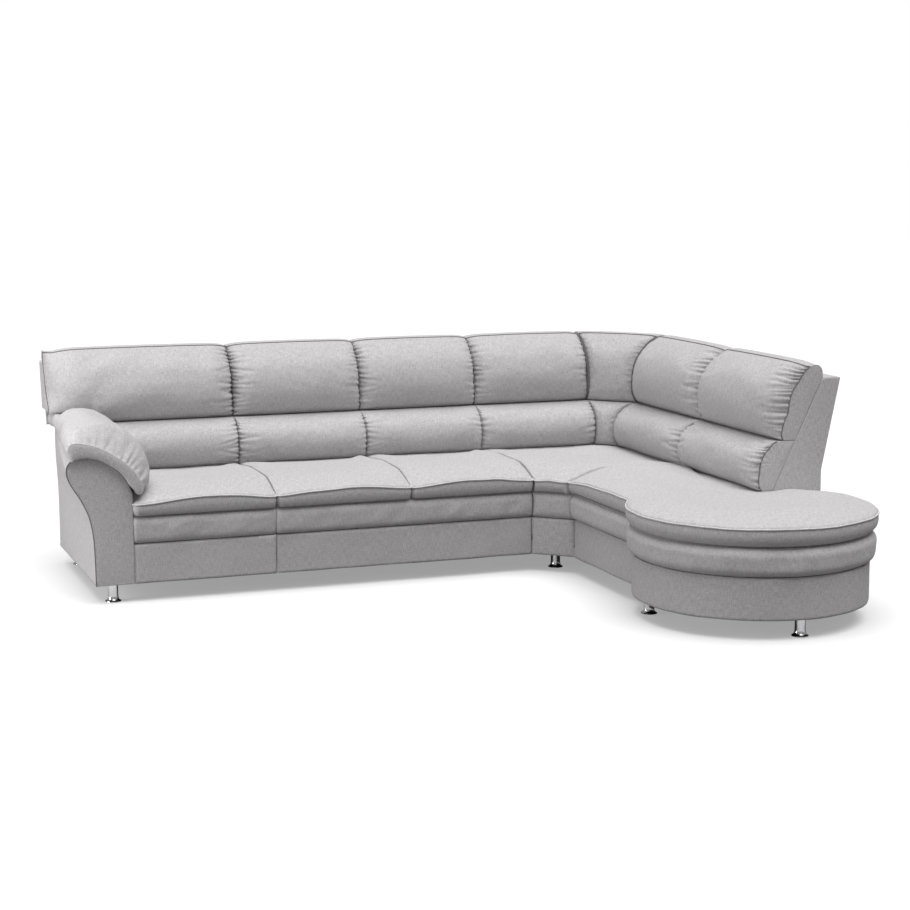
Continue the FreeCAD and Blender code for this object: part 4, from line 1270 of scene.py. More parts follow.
@dataclass
class SeatCushions:
    """The five seat cushions: boxing, piping and a low crown."""

    shop: Upholsterer
    edge_step: float = 0.012
    crown_front: float = 0.19
    crown_side: float = 0.07
    dome: float = 0.022
    stuffing: Inflation = Inflation(cap=0.004)
    held_rings: int = 8
    cord_offset: float = 0.0034

    def straight(self, name: str, x0: float, x1: float, seed: int) -> SeatPlan:
        """Plan of a straight seat with rounded front corners."""
        gap = 0.0015
        lip = SOFA.seat_lip
        radius = 0.02
        back = SOFA.rear_y - SOFA.seat_back
        left = arc((x0 + gap + radius, lip + radius), radius, math.pi, 1.5 * math.pi, 5)
        right = arc((x1 - gap - radius, lip + radius), radius, 1.5 * math.pi, 2 * math.pi, 5)
        front = np.vstack([left, right])
        side_right = np.array([right[-1], (x1 - gap, back)])
        side_left = np.array([(x0 + gap, back), left[0]])
        rear = np.array([(x1 - gap, back), (x0 + gap, back)])
        middle = ((x0 + x1) / 2, 0.3)
        return SeatPlan(name, front, (side_right, side_left), rear, middle, seed)

    def corner(self) -> SeatPlan:
        """Plan of the corner seat behind its slanted front."""
        track = corner_front_track(0.0015, 14)
        front = track.base + track.inward * SOFA.seat_lip
        x_back = SOFA.rear_x - SOFA.seat_back
        y_back = SOFA.rear_y - SOFA.seat_back
        right = np.array([front[-1], (x_back, front[-1][1])])
        rear = np.array(
            [(x_back, front[-1][1]), (x_back, SOFA.wedge_y), (SOFA.wedge_x, y_back),
             (front[0][0], y_back)]
        )
        left = np.array([(front[0][0], y_back), front[0]])
        return SeatPlan("corner", front, (right, left), rear, (2.12, 0.25), 14, 0.0015, 0.7)

    def wing(self) -> SeatPlan:
        """Plan of the wing's long seat with its round end."""
        gap = 0.0015
        stop = SOFA.end_y - 0.003
        angle = 2 * math.pi + math.asin((stop - SOFA.round_y) / SOFA.round_radius)
        line = wing_front_line(SOFA.wing_y - gap, angle, 190)
        track = Track.along_line(line)
        front = line + track.inward * SOFA.seat_lip
        front[:, 1] = np.minimum(front[:, 1], SOFA.wing_y - gap)
        front[-6:, 1] = np.minimum(front[-6:, 1], stop)
        x_back = SOFA.rear_x - SOFA.seat_back
        rear = np.array([front[-1], (x_back, stop), (x_back, SOFA.wing_y - gap)])
        left = np.array([(x_back, SOFA.wing_y - gap), front[0]])
        none = np.array([front[-1], front[-1] + 1e-4])
        return SeatPlan("wing", front, (none, left), rear, (2.26, -0.92), 15, 0.002, 1.0, 0.002)

    def build(self, plan: SeatPlan) -> None:
        """Makes one seat cushion and its piping."""
        outline, kinds = self._outline(plan)
        centre = np.array(plan.centre)
        step = np.roll(outline, -1, axis=0) - np.roll(outline, 1, axis=0)
        step /= np.maximum(np.linalg.norm(step, axis=1, keepdims=True), 1e-9)
        inward = np.stack([-step[:, 1], step[:, 0]], axis=1)
        soft = np.where(kinds == 0, 1.0, 0.18)
        dip = self._front_wave(outline, kinds, plan)
        low = SOFA.roll_top + 0.0015
        piping = SOFA.piping + dip
        flat = SOFA.piping
        rings = []
        for share in (0.05, 0.3, 0.6, 0.85, 0.96):
            rings.append(self._level(centre + (outline - centre) * share, low))
        belly = ((0.0, 0.038), (0.04, 0.026), (0.14, 0.013), (0.35, 0.002), (0.62, -0.002),
                 (0.85, -0.001), (1.0, 0.002))
        for share, inset in belly:
            height = low + (piping - low) * share
            step_in = soft * (inset * plan.belly if inset > 0 else inset)
            rings.append(self._level(outline + inward * step_in[:, None], height))
        seam = len(rings) - 1
        edge = rings[-1][:, :2]
        shares = 1 - np.linspace(0.0, 1.0, 27)[1:] ** 1.45 * 0.985
        puffs = np.zeros(len(shares))
        puffs[:5] = plan.puff * np.array([0.6, 0.95, 1.0, 0.75, 0.35])
        for share, puff in zip(shares, puffs):
            plan_ring = centre + (edge - centre) * share - inward * (soft * puff)[:, None]
            rise = self._rise(plan_ring, outline, kinds)
            rings.append(self._level(plan_ring, piping * share**2 + flat * (1 - share**2) + rise))
        grid = np.array(rings)
        run = distances(outline)
        form = Form(grid, np.arange(len(rings), dtype=float), run)
        held = np.ones(grid.shape[:2], bool)
        free = kinds == 0
        held[seam + 2 :, :] = False
        held[self.held_rings : seam, free] = False
        form = self.stuffing.applied(form, held)
        outer = form.grid[seam] - self._level(inward * self.cord_offset, 0.0)
        seam_line = outer[kinds != 2]
        order = np.flatnonzero(kinds != 2)
        breaks = np.flatnonzero(np.diff(order) > 1)
        seam_line = np.roll(seam_line, -(breaks[0] + 1) if len(breaks) else 0, axis=0)
        form = self._worn(form.refined(), seam, kinds, plan)
        name = plan.name + "_seat_cushion"
        self.shop.cover(form, name + "_soft", [name], 0.75)
        self.shop.piping(name + "_piping", [seam_line], 0.0036)

    def _outline(self, plan: SeatPlan) -> tuple[Array, Array]:
        """The whole outline, evenly spaced, and the kind of each point: front, side or rear."""
        parts = []
        kinds = []
        lines = (plan.front, plan.sides[0], plan.rear, plan.sides[1])
        for line, kind in zip(lines, (0, 1, 2, 1)):
            length = float(distances(line)[-1])
            if length < 0.001:
                continue
            count = max(2, round(length / self.edge_step) + 1)
            parts.append(resampled(line, count)[:-1])
            kinds.append(np.full(count - 1, kind))
        return np.vstack(parts), np.concatenate(kinds)

    def _front_wave(self, outline: Array, kinds: Array, plan: SeatPlan) -> Array:
        """How much the piping rises and sinks along the edge."""
        front = outline[kinds == 0]
        first = np.linalg.norm(outline - front[0], axis=1)
        last = np.linalg.norm(outline - front[-1], axis=1)
        near = np.minimum(first, last)
        sink = 0.016 - 0.022 * np.exp(-((near / 0.15) ** 1.6))
        uneven = Unevenness(plan.seed * 3, plan.wave, 0.4)
        points = np.hstack([outline, np.zeros((len(outline), 1))])
        return np.where(kinds == 2, 0.0, sink + uneven.at(points)) + 0.001

    def _rise(self, ring: Array, outline: Array, kinds: Array) -> Array:
        """Height of the top over the piping, from the distance to each kind of edge."""
        rise = np.full(len(ring), SOFA.seat - SOFA.piping)
        for kind, width in ((0, self.crown_front), (1, self.crown_side)):
            edge = outline[kinds == kind]
            if len(edge) < 2:
                continue
            away = clearance(ring, edge)
            fall = shoulder(away, width)
            rise *= 1 - (fall if kind == 0 else 0.6 * fall)
        rear = outline[kinds == 2]
        away = clearance(ring, rear)
        front = outline[kinds == 0]
        ahead = clearance(ring, front)
        return rise + self.dome * eased(away / 0.3) * eased(ahead / 0.2)

    def _level(self, plan: Array, height: float | Array) -> Array:
        """A ring of plan points at a height."""
        return np.hstack([plan, np.broadcast_to(height, len(plan)).reshape(-1, 1)])

    def _worn(self, form: Form, seam: int, kinds: Array, plan: SeatPlan) -> Form:
        """Adds slight hollows on the top and small folds beside the seams."""
        rings = np.arange(len(form.grid))
        top = rings > 2 * seam + 1
        uneven = Unevenness(plan.seed, 0.0022, 0.3).at(form.grid)
        share = np.clip((rings - 2 * seam) / 14.0, 0.0, 1.0)
        form.grid[..., 2] += uneven * (share * top)[:, None]
        amount = np.zeros(form.grid.shape[:2])
        edge = form.grid[2 * seam]
        away = np.linalg.norm(form.grid - edge[None], axis=2)
        fold = Pleats(plan.seed * 13, depth=0.0014, reach=0.045, pitch=0.05, width=0.009)
        along = in_rows(form.along, len(form.grid))
        folds = fold.at(away, along)
        visible = np.repeat(kinds != 2, 2)[None, :]
        boxing = (rings > 15) & (rings < 2 * seam - 1)
        gather = Pleats(plan.seed * 17, depth=0.0012, reach=0.05, pitch=0.03, width=0.007)
        low = np.linalg.norm(form.grid - form.grid[15][None], axis=2)
        amount -= folds * top[:, None] * visible
        amount -= gather.at(low, along) * boxing[:, None] * visible
        return form.pushed(amount)


# The base: flat panels, with a padded roll on them


@dataclass(frozen=True)
class BaseRun:
    """One stretch of the base's front."""

    name: str
    panel: Track
    roll: Track
    seed: int
    draw: tuple[float, float] = (0.008, 0.008)
    swell: float = 0.014
    pitch: float = 0.034


@dataclass
class BaseFront:
    """Front panels and the rolls above them."""

    shop: Upholsterer
    roll_depth: float = 0.105
    end_rings: int = 4

    def build(self, part: BaseRun) -> None:
        """Makes the panel and the roll of one stretch."""
        self._panel(part)
        self._roll(part)

    def _section(self, corners: Sequence[Point], counts: Sequence[int]) -> Array:
        """A closed section with a number of points on each straight edge."""
        line = []
        for i, count in enumerate(counts):
            a = np.array(corners[i])
            b = np.array(corners[(i + 1) % len(corners)])
            line.append(a + (b - a) * np.linspace(0.0, 1.0, count, endpoint=False)[:, None])
        return np.vstack(line)

    def _panel(self, part: BaseRun) -> None:
        """A covered board with soft edges."""
        low = SOFA.floor_gap
        high = SOFA.panel_top - 0.001
        inner = SOFA.panel - 0.001
        section = self._section([(0.0, low), (0.0, high), (inner, high), (inner, low)], (26, 3, 10, 3))
        run = part.panel.run()
        near = np.minimum(run, run[-1] - run)
        front = (section[:, 0] < 0.002).astype(float)
        height = in_rows(section[:, 1], len(run))
        depth = in_rows(section[:, 0], len(run))
        round_low = 0.002 * shoulder(section[:, 1] - low, 0.008)
        round_high = 0.006 * shoulder(high - section[:, 1], 0.016)
        round_side = 0.006 * shoulder(near, 0.012)
        depth = depth + front[None, :] * np.maximum(
            (round_low + round_high)[None, :], round_side[:, None]
        )
        rings = part.panel.rings(depth, height)
        form = swept(rings, section, run, count=self.end_rings)
        uneven = Unevenness(part.seed, 0.0011, 0.3).at(form.grid)
        form = form.pushed(uneven * front[None, :])
        name = part.name + "_front_panel"
        self.shop.cover(form, name + "_cover", [name], None)

    def _roll(self, part: BaseRun) -> None:
        """A padded roll that bulges over the panel."""
        low = SOFA.panel_top + 0.0012
        high = SOFA.roll_top - 0.0005
        middle = (low + high) / 2
        swell = part.swell
        front = curved(
            [(0.008, high), (-0.4 * swell, high - 0.01), (0.001 - swell, middle + 0.028),
             (-swell, middle), (0.002 - swell, middle - 0.032), (-0.4 * swell, low + 0.009),
             (0.007, low)],
            26,
        )
        under = resampled(np.array([(0.007, low), (self.roll_depth, low)]), 10)
        back = resampled(np.array([(self.roll_depth, low), (self.roll_depth, high)]), 6)
        over = resampled(np.array([(self.roll_depth, high), (0.008, high)]), 10)
        section = np.vstack([front, under[1:], back[1:], over[1:-1]])
        run = part.roll.run()
        draw = np.zeros(len(run))
        for away, depth in zip((run, run[-1] - run), part.draw):
            draw += depth * shoulder(away, 0.022)
        pull = np.clip((0.02 - section[:, 0]) / 0.03, 0.0, 1.0)
        squeeze = (section[:, 1] - middle) / (high - middle)
        depth = section[None, :, 0] + draw[:, None] * pull[None, :]
        height = section[None, :, 1] - 0.35 * draw[:, None] * pull[None, :] * squeeze[None, :]
        rings = part.roll.rings(depth, height)
        form = swept(rings, section, run, count=self.end_rings).refined()
        pitch = part.pitch
        upper = Pleats(part.seed * 3, depth=0.0014, reach=0.04, pitch=pitch, width=0.2 * pitch)
        lower = Pleats(part.seed * 5, depth=0.0009, reach=0.03, pitch=0.06, width=0.009)
        width, line = form.distance_grids()
        end = form.along[2 * len(front) - 2]
        mask = np.zeros(form.grid.shape[1])
        mask[1 : 2 * len(front) - 3] = 1.0
        uneven = Unevenness(part.seed, 0.0022, 0.2).at(form.grid)
        calm = np.sin(math.pi * np.clip(form.along / end, 0.0, 1.0)) ** 0.5
        amount = uneven * calm[None, :] - upper.at(line, width) - lower.at(np.abs(end - line), width)
        form = form.pushed(amount * mask[None, :])
        name = part.name + "_front_roll"
        self.shop.cover(form, name + "_soft", [name], 0.6)


# The arm


@dataclass
class Arm:
    """The flared arm body and the cushion that rolls over it."""

    shop: Upholsterer
    width: float = 0.16
    front_flare: float = 0.112
    rear_flare: float = 0.008
    front_top: float = 0.612
    rear_top: float = 0.64
    base_points: int = 8
    side_points: int = 44
    top_points: int = 24
    bed_points: int = 21
    crown_points: int = 68
    front_face: Array = field(
        default_factory=lambda: np.array(
            [(-0.26, 0.634), (-0.266, 0.66), (-0.25, 0.687), (-0.197, 0.684), (-0.132, 0.662),
             (-0.08, 0.632), (-0.024, 0.59), (0.016, 0.545), (0.038, 0.496), (0.037, 0.473),
             (0.018, 0.466)]
        )
    )
    crown: Array = field(
        default_factory=lambda: np.array(
            [(-0.264, 0.643), (-0.268, 0.68), (-0.246, 0.715), (-0.19, 0.744), (-0.128, 0.757),
             (-0.066, 0.748), (-0.002, 0.712), (0.05, 0.65), (0.086, 0.572), (0.088, 0.502),
             (0.05, 0.466)]
        )
    )
    rear_face: Array = field(
        default_factory=lambda: np.array(
            [(-0.192, 0.65), (-0.206, 0.67), (-0.2, 0.7), (-0.17, 0.725), (-0.12, 0.74),
             (-0.06, 0.735), (-0.012, 0.7), (0.03, 0.62), (0.05, 0.56), (0.045, 0.52), (0.02, 0.49)]
        )
    )

    def section(self, y: float) -> tuple[Array, int]:
        """Outline of the arm at a place, and the number of the point where its top starts."""
        share = y / SOFA.rear_y
        flare = self.front_flare + (self.rear_flare - self.front_flare) * share
        top = self.front_top + (self.rear_top - self.front_top) * share
        w = self.width
        fall = 1 - 0.9 * float(eased(np.array((y - 0.55) / 0.25)))
        base = resampled(np.array([(0.0, 0.081), (-w, 0.081)]), self.base_points)
        outer = curved(
            [(-w, 0.081), (-w - 0.02 * flare, 0.2), (-w - 0.06 * flare, 0.29),
             (-w - 0.2 * flare, 0.375), (-w - 0.48 * flare, 0.447), (-w - 0.8 * flare, 0.505),
             (-w - 0.98 * flare, top - 0.06), (-w - 0.97 * flare, top - 0.023),
             (-w - 0.8 * flare, top + 0.002)],
            self.side_points,
        )
        over = curved(
            [(-w - 0.8 * flare, top + 0.002), (-w - 0.38 * flare, top + 0.014),
             (-0.93 * w, top + 0.006), (-0.64 * w, top - 0.018 * fall),
             (-0.36 * w, top - 0.051 * fall), (-0.13 * w, top - 0.099 * fall),
             (0.0, top - 0.15 * fall)],
            self.top_points,
        )
        inner = resampled(np.array([(0.0, top - 0.15 * fall), (0.0, 0.081)]), 20)
        line = np.vstack([base, outer[1:], over[1:], inner[1:-1]])
        return line, len(base) + len(outer) - 2

    def build(self) -> None:
        """Makes the body and the cushion."""
        self._body()
        self._pad()

    def _body(self) -> None:
        """The upholstered body with a piped front panel."""
        stops = spread(SOFA.rear_y, 40)
        rings = []
        for y in stops:
            line, _ = self.section(y)
            rings.append(np.stack([line[:, 0], np.full(len(line), y), line[:, 1]], axis=1))
        closed = swept(np.array(rings), rings[0], stops, (0.004, 0.002))
        form = closed.refined()
        side = (form.grid[..., 0] < -0.1) & (form.grid[..., 2] > 0.1)
        uneven = Unevenness(31, 0.0016, 0.3).at(form.grid)
        form = form.pushed(uneven * side * np.minimum(form.across / 0.05, 1.0)[:, None])
        self.shop.cover(form, "arm_body_cover", ["arm_body"], 0.4)
        _, top = self.section(0.0)
        last = top + self.top_points + 2
        seam = closed.grid[len(CAP_SHARES), self.base_points - 1 : last]
        # the arm front piping takes the darker cord, whose colour is painted shade
        self.shop.piping("arm_front_piping", [seam], 0.0026, True)

    def _pad(self) -> None:
        """The arm cushion: a boxed front edge, gathered along its seam, then a full crown."""
        where = np.concatenate([np.linspace(-0.026, 0.03, 9), np.linspace(0.042, 0.86, 52)])
        rings = self._under_back(np.array([self._pad_ring(y) for y in where]))
        extra = len(CAP_SHARES)
        form = swept(rings, rings[0], where - where[0], (0.007, 0.0), spine=True)
        held = np.ones(form.grid.shape[:2], bool)
        held[extra + 1 : -extra - 12, 3 : self.crown_points - 8] = False
        form = Inflation(cap=0.005).applied(form, held)
        seam = form.grid[extra, : self.crown_points - 4]
        form = form.refined()
        over = np.zeros(form.grid.shape[1])
        over[4 : 2 * (self.crown_points - 6)] = 1.0
        pleats = Pleats(77, depth=0.0075, reach=0.12, pitch=0.021, width=0.0075)
        depth = pleats.at(*form.distance_grids())
        mask = in_rows(over, len(form.grid))
        mask[: 2 * extra] = 0.0
        uneven = Unevenness(78, 0.003, 0.2).at(form.grid)
        calm = np.minimum(1.0, form.across / 0.06)[:, None]
        form = form.pushed((uneven * calm - depth) * mask)
        self.shop.cover(form, "arm_pad_soft", ["arm_pad"], 0.7)
        self.shop.piping("arm_pad_piping", [seam], 0.003)

    def _pad_ring(self, y: float) -> Array:
        """One closed section of the arm cushion, lying on the arm's top."""
        line, top = self.section(y)
        bed = line[top : top + self.bed_points]
        step = np.gradient(bed, axis=0)
        step /= np.linalg.norm(step, axis=1, keepdims=True)
        bed = bed + np.stack([-step[:, 1], step[:, 0]], axis=1) * 0.0012
        swell = float(eased(np.array((y + 0.026) / 0.13))) ** 0.75
        rear = float(eased(np.array((y - 0.4) / 0.4)))
        shape = self.front_face + (self.crown - self.front_face) * swell
        shape = shape + (self.rear_face - shape) * rear
        outer = np.clip((-0.1 - shape[:, 0]) / 0.17, 0.0, 1.0)
        shape[:, 0] += 0.055 * outer * (1 - rear) * float(eased(np.array((y - 0.02) / 0.6)))
        over = curved([tuple(bed[0]), *map(tuple, shape), tuple(bed[-1])], self.crown_points)
        ring = np.vstack([over, resampled(bed[::-1], len(over) + 2)[1:-1]])
        return np.stack([ring[:, 0], np.full(len(ring), y), ring[:, 1]], axis=1)

    def _under_back(self, rings: Array) -> Array:
        """Presses the cushion down where the back cushions lie on it."""
        y = rings[..., 1]
        below = SOFA.over_arm_foot - 0.003
        squeeze = eased((y - 0.605) / 0.07)
        limit = below + (1 - squeeze) * 0.2
        rings[..., 2] = np.minimum(rings[..., 2], limit)
        inner = eased((y - 0.55) / 0.04)
        rings[..., 0] = np.minimum(rings[..., 0], 0.1 * (1 - inner) - 0.004 * inner + 1e-4)
        return rings


# The rear


@dataclass
class RearShell:
    """Covered boards that close the rear, the ends and the corner of the back."""

    shop: Upholsterer
    skin: float = 0.0055
    outer_points: int = 44

    def cover_section(self, low: float) -> Array:
        """Section of a rear cover: outside up, over the top edge, and inside down."""
        heights = np.linspace(low, SOFA.board_top - 0.004, self.outer_points)
        outer = [(SOFA.rear_depth(z), z) for z in heights]
        top = [(SOFA.rear_depth(SOFA.board_top) + 0.003, SOFA.board_top), (0.004, SOFA.board_top)]
        lip = [(0.0045, SOFA.board_top - 0.0055)]
        heights = np.linspace(SOFA.board_top - 0.0055, low, 40)
        inner = [(SOFA.rear_depth(z) + self.skin, z) for z in heights]
        edge = resampled(np.array([outer[-1], *top]), 12)
        under = resampled(np.array([*lip, inner[0]]), 10)
        return np.vstack([np.array(outer)[:-1], edge, under, np.array(inner)[1:]])

    def cover(self, name: str, track: Track, low: float, nodes: Sequence[str], seed: int) -> None:
        """Makes one rear cover with softly padded edges.

        Args:
            name: Name of the piece.
            track: Line of the rear plane, from end to end.
            low: Height of its lower edge.
            nodes: CAD nodes that it replaces.
            seed: Seed of its unevenness.
        """
        section = self.cover_section(low)
        run = track.run()
        depth = in_rows(section[:, 0], len(run))
        height = in_rows(section[:, 1], len(run))
        outer = np.zeros(len(section))
        outer[: self.outer_points + 2] = 1.0
        near = np.minimum(run, run[-1] - run)
        depth = depth + outer[None, :] * 0.003 * shoulder(near, 0.012)[:, None]
        rings = track.rings(depth, height)
        along = distances(section)
        form = Form(rings, run, along, True)
        uneven = Unevenness(seed, 0.0012, 0.35).at(form.grid)
        form = form.pushed(uneven * outer[None, :] * np.minimum(near / 0.05, 1.0)[:, None])
        self.shop.cover(form, name, nodes, None)

    def slab(self, name: str, outline: Array, direction: Array, nodes: Sequence[str]) -> None:
        """Makes a covered board from its outline, with rounded edges.

        Args:
            name: Name of the piece.
            outline: Corner points of one face.
            direction: Step from this face to the other.
            nodes: CAD nodes that it replaces.
        """
        closed = np.vstack([outline, outline[:1]])
        count = max(40, round(distances(closed)[-1] / 0.02))
        ring = resampled(closed, count + 1)[:-1]
        away = ring - ring.mean(axis=0)
        away /= np.linalg.norm(away, axis=1, keepdims=True)
        half = [(0.0, 0.004), (0.12, 0.0012), (0.3, 0.0)]
        rounding = half + [(1 - share, inset) for share, inset in half[::-1]]
        rings = [ring - away * inset + direction * share for share, inset in rounding]
        grid = capped(np.array(rings), (0.0015, 0.0015), 5)
        form = Form(grid, np.arange(len(grid), dtype=float), np.arange(count, dtype=float))
        self.shop.cover(form, name, nodes, None)


# Feet


@dataclass
class Feet:
    """Chrome feet: a tube that flares to a thin rim on the floor."""

    chrome: bpy.types.Material
    sides: int = 64
    places: tuple[Point, ...] = (
        (-0.08, 0.064), (-0.08, 0.873), (1.223, 0.873), (1.9405, 0.058), (1.928, 0.873),
        (2.716, 0.873), (1.936, -0.92), (2.32, -1.47), (2.716, -0.731), (2.716, -0.237),
    )

    def profile(self) -> Array:
        """Radius and height up the outside of a foot."""
        rim = [(0.0, 0.0002), (0.031, 0.0002), (0.0335, 0.0008), (0.0342, 0.0022), (0.0336, 0.0036)]
        flare = curved(
            [(0.0336, 0.0036), (0.0312, 0.0046), (0.0278, 0.0068), (0.0245, 0.0112),
             (0.0224, 0.0175), (0.0213, 0.026), (0.021, 0.036)],
            18,
        )
        tube = [(0.021, 0.055), (0.021, 0.0742), (0.0204, 0.0748), (0.0204, 0.0762), (0.021, 0.0768),
                (0.021, 0.0812), (0.0, 0.0812)]
        return np.vstack([np.array(rim[:-1]), flare, np.array(tube)])

    def build(self) -> None:
        """Makes all feet in one piece."""
        profile = self.profile()
        turns = np.linspace(0.0, 2 * math.pi, self.sides, endpoint=False)
        vertices = []
        faces = []
        for x, y in self.places:
            start = len(vertices)
            vertices.append((x, y, profile[0][1]))
            for radius, height in profile[1:-1]:
                for turn in turns:
                    vertices.append((x + radius * math.cos(turn), y + radius * math.sin(turn), height))
            vertices.append((x, y, profile[-1][1]))
            faces += self._faces(start, len(profile) - 2)
        piece = mesh_from("chrome_feet", SOFA.moved(np.array(vertices)), faces)
        piece.data.materials.append(self.chrome)
        piece.data.set_sharp_from_angle(angle=math.radians(38))
        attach(piece, BODY)
        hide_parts("foot_tubes", "foot_plates")
        LOG.info("chrome_feet: %d faces", len(faces))

    def _faces(self, start: int, levels: int) -> list[list[int]]:
        """Faces of one foot whose points start at a number."""
        faces = []
        ring = start + 1
        end = ring + levels * self.sides
        for k in range(self.sides):
            nxt = (k + 1) % self.sides
            faces.append([start, ring + nxt, ring + k])
            for level in range(levels - 1):
                low = ring + level * self.sides
                high = low + self.sides
                faces.append([low + k, low + nxt, high + nxt, high + k])
            last = ring + (levels - 1) * self.sides
            faces.append([last + k, last + nxt, end])
        return faces


# Studio


@dataclass
class Studio:
    """Floor, lamps, world and camera."""

    camera_place: tuple[float, float, float] = (-2.824, -7.6855, 1.85)
    pitch: float = 81.3
    yaw: float = -20.4
    lens: float = 77.2
    floor_size: float = 60.0
    fill: float = 0.28
    floor_dim: float = 0.16
    floor_mirrored: float = 0.5
    floor_pale: float = 0.6
    floor_glow: float = 0.325

    def build(self) -> None:
        """Makes the whole studio."""
        self._world()
        self._floor()
        self._sun("key", (-0.02, 0.2, -0.9), 3.16, 60.0)
        self._sun("front", (0.1, 0.9, -0.5), 0.06, 40.0)
        self._panel_lamp("side", (-3.9, 0.15, 0.8), 1.2, 50.0, (-1.5, 0.15, 0.35))
        self._camera()

    def _world(self) -> None:
        """A pale world that is white where the camera sees it."""
        world = bpy.data.worlds.new("studio")
        world.use_nodes = True
        nodes = Nodes(world.node_tree)
        seen = nodes.add("ShaderNodeLightPath", {}, {}, "Is Camera Ray")
        light, white = (
            nodes.add("ShaderNodeBackground", {}, {"Color": grey(1.0), "Strength": strength})
            for strength in (self.fill, 1.0)
        )
        mix = nodes.add("ShaderNodeMixShader", {}, {0: seen, 1: light, 2: white})
        nodes.finish("ShaderNodeOutputWorld", mix)
        bpy.context.scene.world = world

    def _floor(self) -> None:
        """A wide pale floor that keeps the sofa's shadow."""
        half = self.floor_size / 2
        corners = [(-half, -half, 0.0), (half, -half, 0.0), (half, half, 0.0), (-half, half, 0.0)]
        mesh = bpy.data.meshes.new("floor")
        mesh.from_pydata(corners, [], [[0, 1, 2, 3]])
        floor = bpy.data.objects.new("floor", mesh)
        bpy.context.scene.collection.objects.link(floor)
        material, nodes = new_material("pale_floor")
        path = nodes.add("ShaderNodeLightPath", {}, {}, "Is Camera Ray")
        glossy = path.beside("Is Glossy Ray")
        dim, mirrored, pale = (
            nodes.add("ShaderNodeBsdfDiffuse", {}, {"Color": grey(shade)})
            for shade in (self.floor_dim, self.floor_mirrored, self.floor_pale)
        )
        unseen = nodes.add("ShaderNodeMixShader", {}, {0: glossy, 1: dim, 2: mirrored})
        glow = nodes.add("ShaderNodeEmission", {}, {"Color": grey(1.0), "Strength": self.floor_glow})
        both = nodes.add("ShaderNodeAddShader", {}, {0: pale, 1: glow})
        mix = nodes.add("ShaderNodeMixShader", {}, {0: path, 1: unseen, 2: both})
        nodes.finish("ShaderNodeOutputMaterial", mix)
        mesh.materials.append(material)

    def _sun(self, name: str, towards: tuple[float, ...], strength: float, spread: float) -> None:
        """One wide soft lamp, far away.

        Args:
            name: Name of the lamp.
            towards: The way its light goes.
            strength: Light on a face turned to it, in watts a square metre.
            spread: Width of its disc in degrees.
        """
        data = bpy.data.lights.new(name, "SUN")
        data.angle = math.radians(spread)
        data.energy = strength
        lamp = bpy.data.objects.new(name, data)
        lamp.rotation_euler = Vector(towards).to_track_quat("-Z", "Y").to_euler()
        bpy.context.scene.collection.objects.link(lamp)

    def _panel_lamp(
        self, name: str, place: tuple[float, ...], size: float, power: float, aim: tuple[float, ...]
    ) -> None:
        """One soft lamp near the sofa.

        Args:
            name: Name of the lamp.
            place: Where it stands.
            size: Its width.
            power: Its power in watts.
            aim: The point it faces.
        """
        data = bpy.data.lights.new(name, "AREA")
        data.shape = "SQUARE"
        data.size = size
        data.energy = power
        lamp = bpy.data.objects.new(name, data)
        lamp.location = place
        lamp.rotation_euler = (Vector(aim) - Vector(place)).to_track_quat("-Z", "Y").to_euler()
        bpy.context.scene.collection.objects.link(lamp)

    def _camera(self) -> None:
        """The photograph's view."""
        data = bpy.data.cameras.new("view")
        data.lens = self.lens
        data.sensor_width = 36.0
        camera = bpy.data.objects.new("view", data)
        camera.location = self.camera_place
        angles = (math.radians(self.pitch), 0.0, math.radians(self.yaw))
        camera.rotation_euler = Euler(angles, "XYZ")
        bpy.context.scene.collection.objects.link(camera)
        bpy.context.scene.camera = camera
        bpy.context.scene.view_settings.view_transform = "Standard"


# The whole sofa


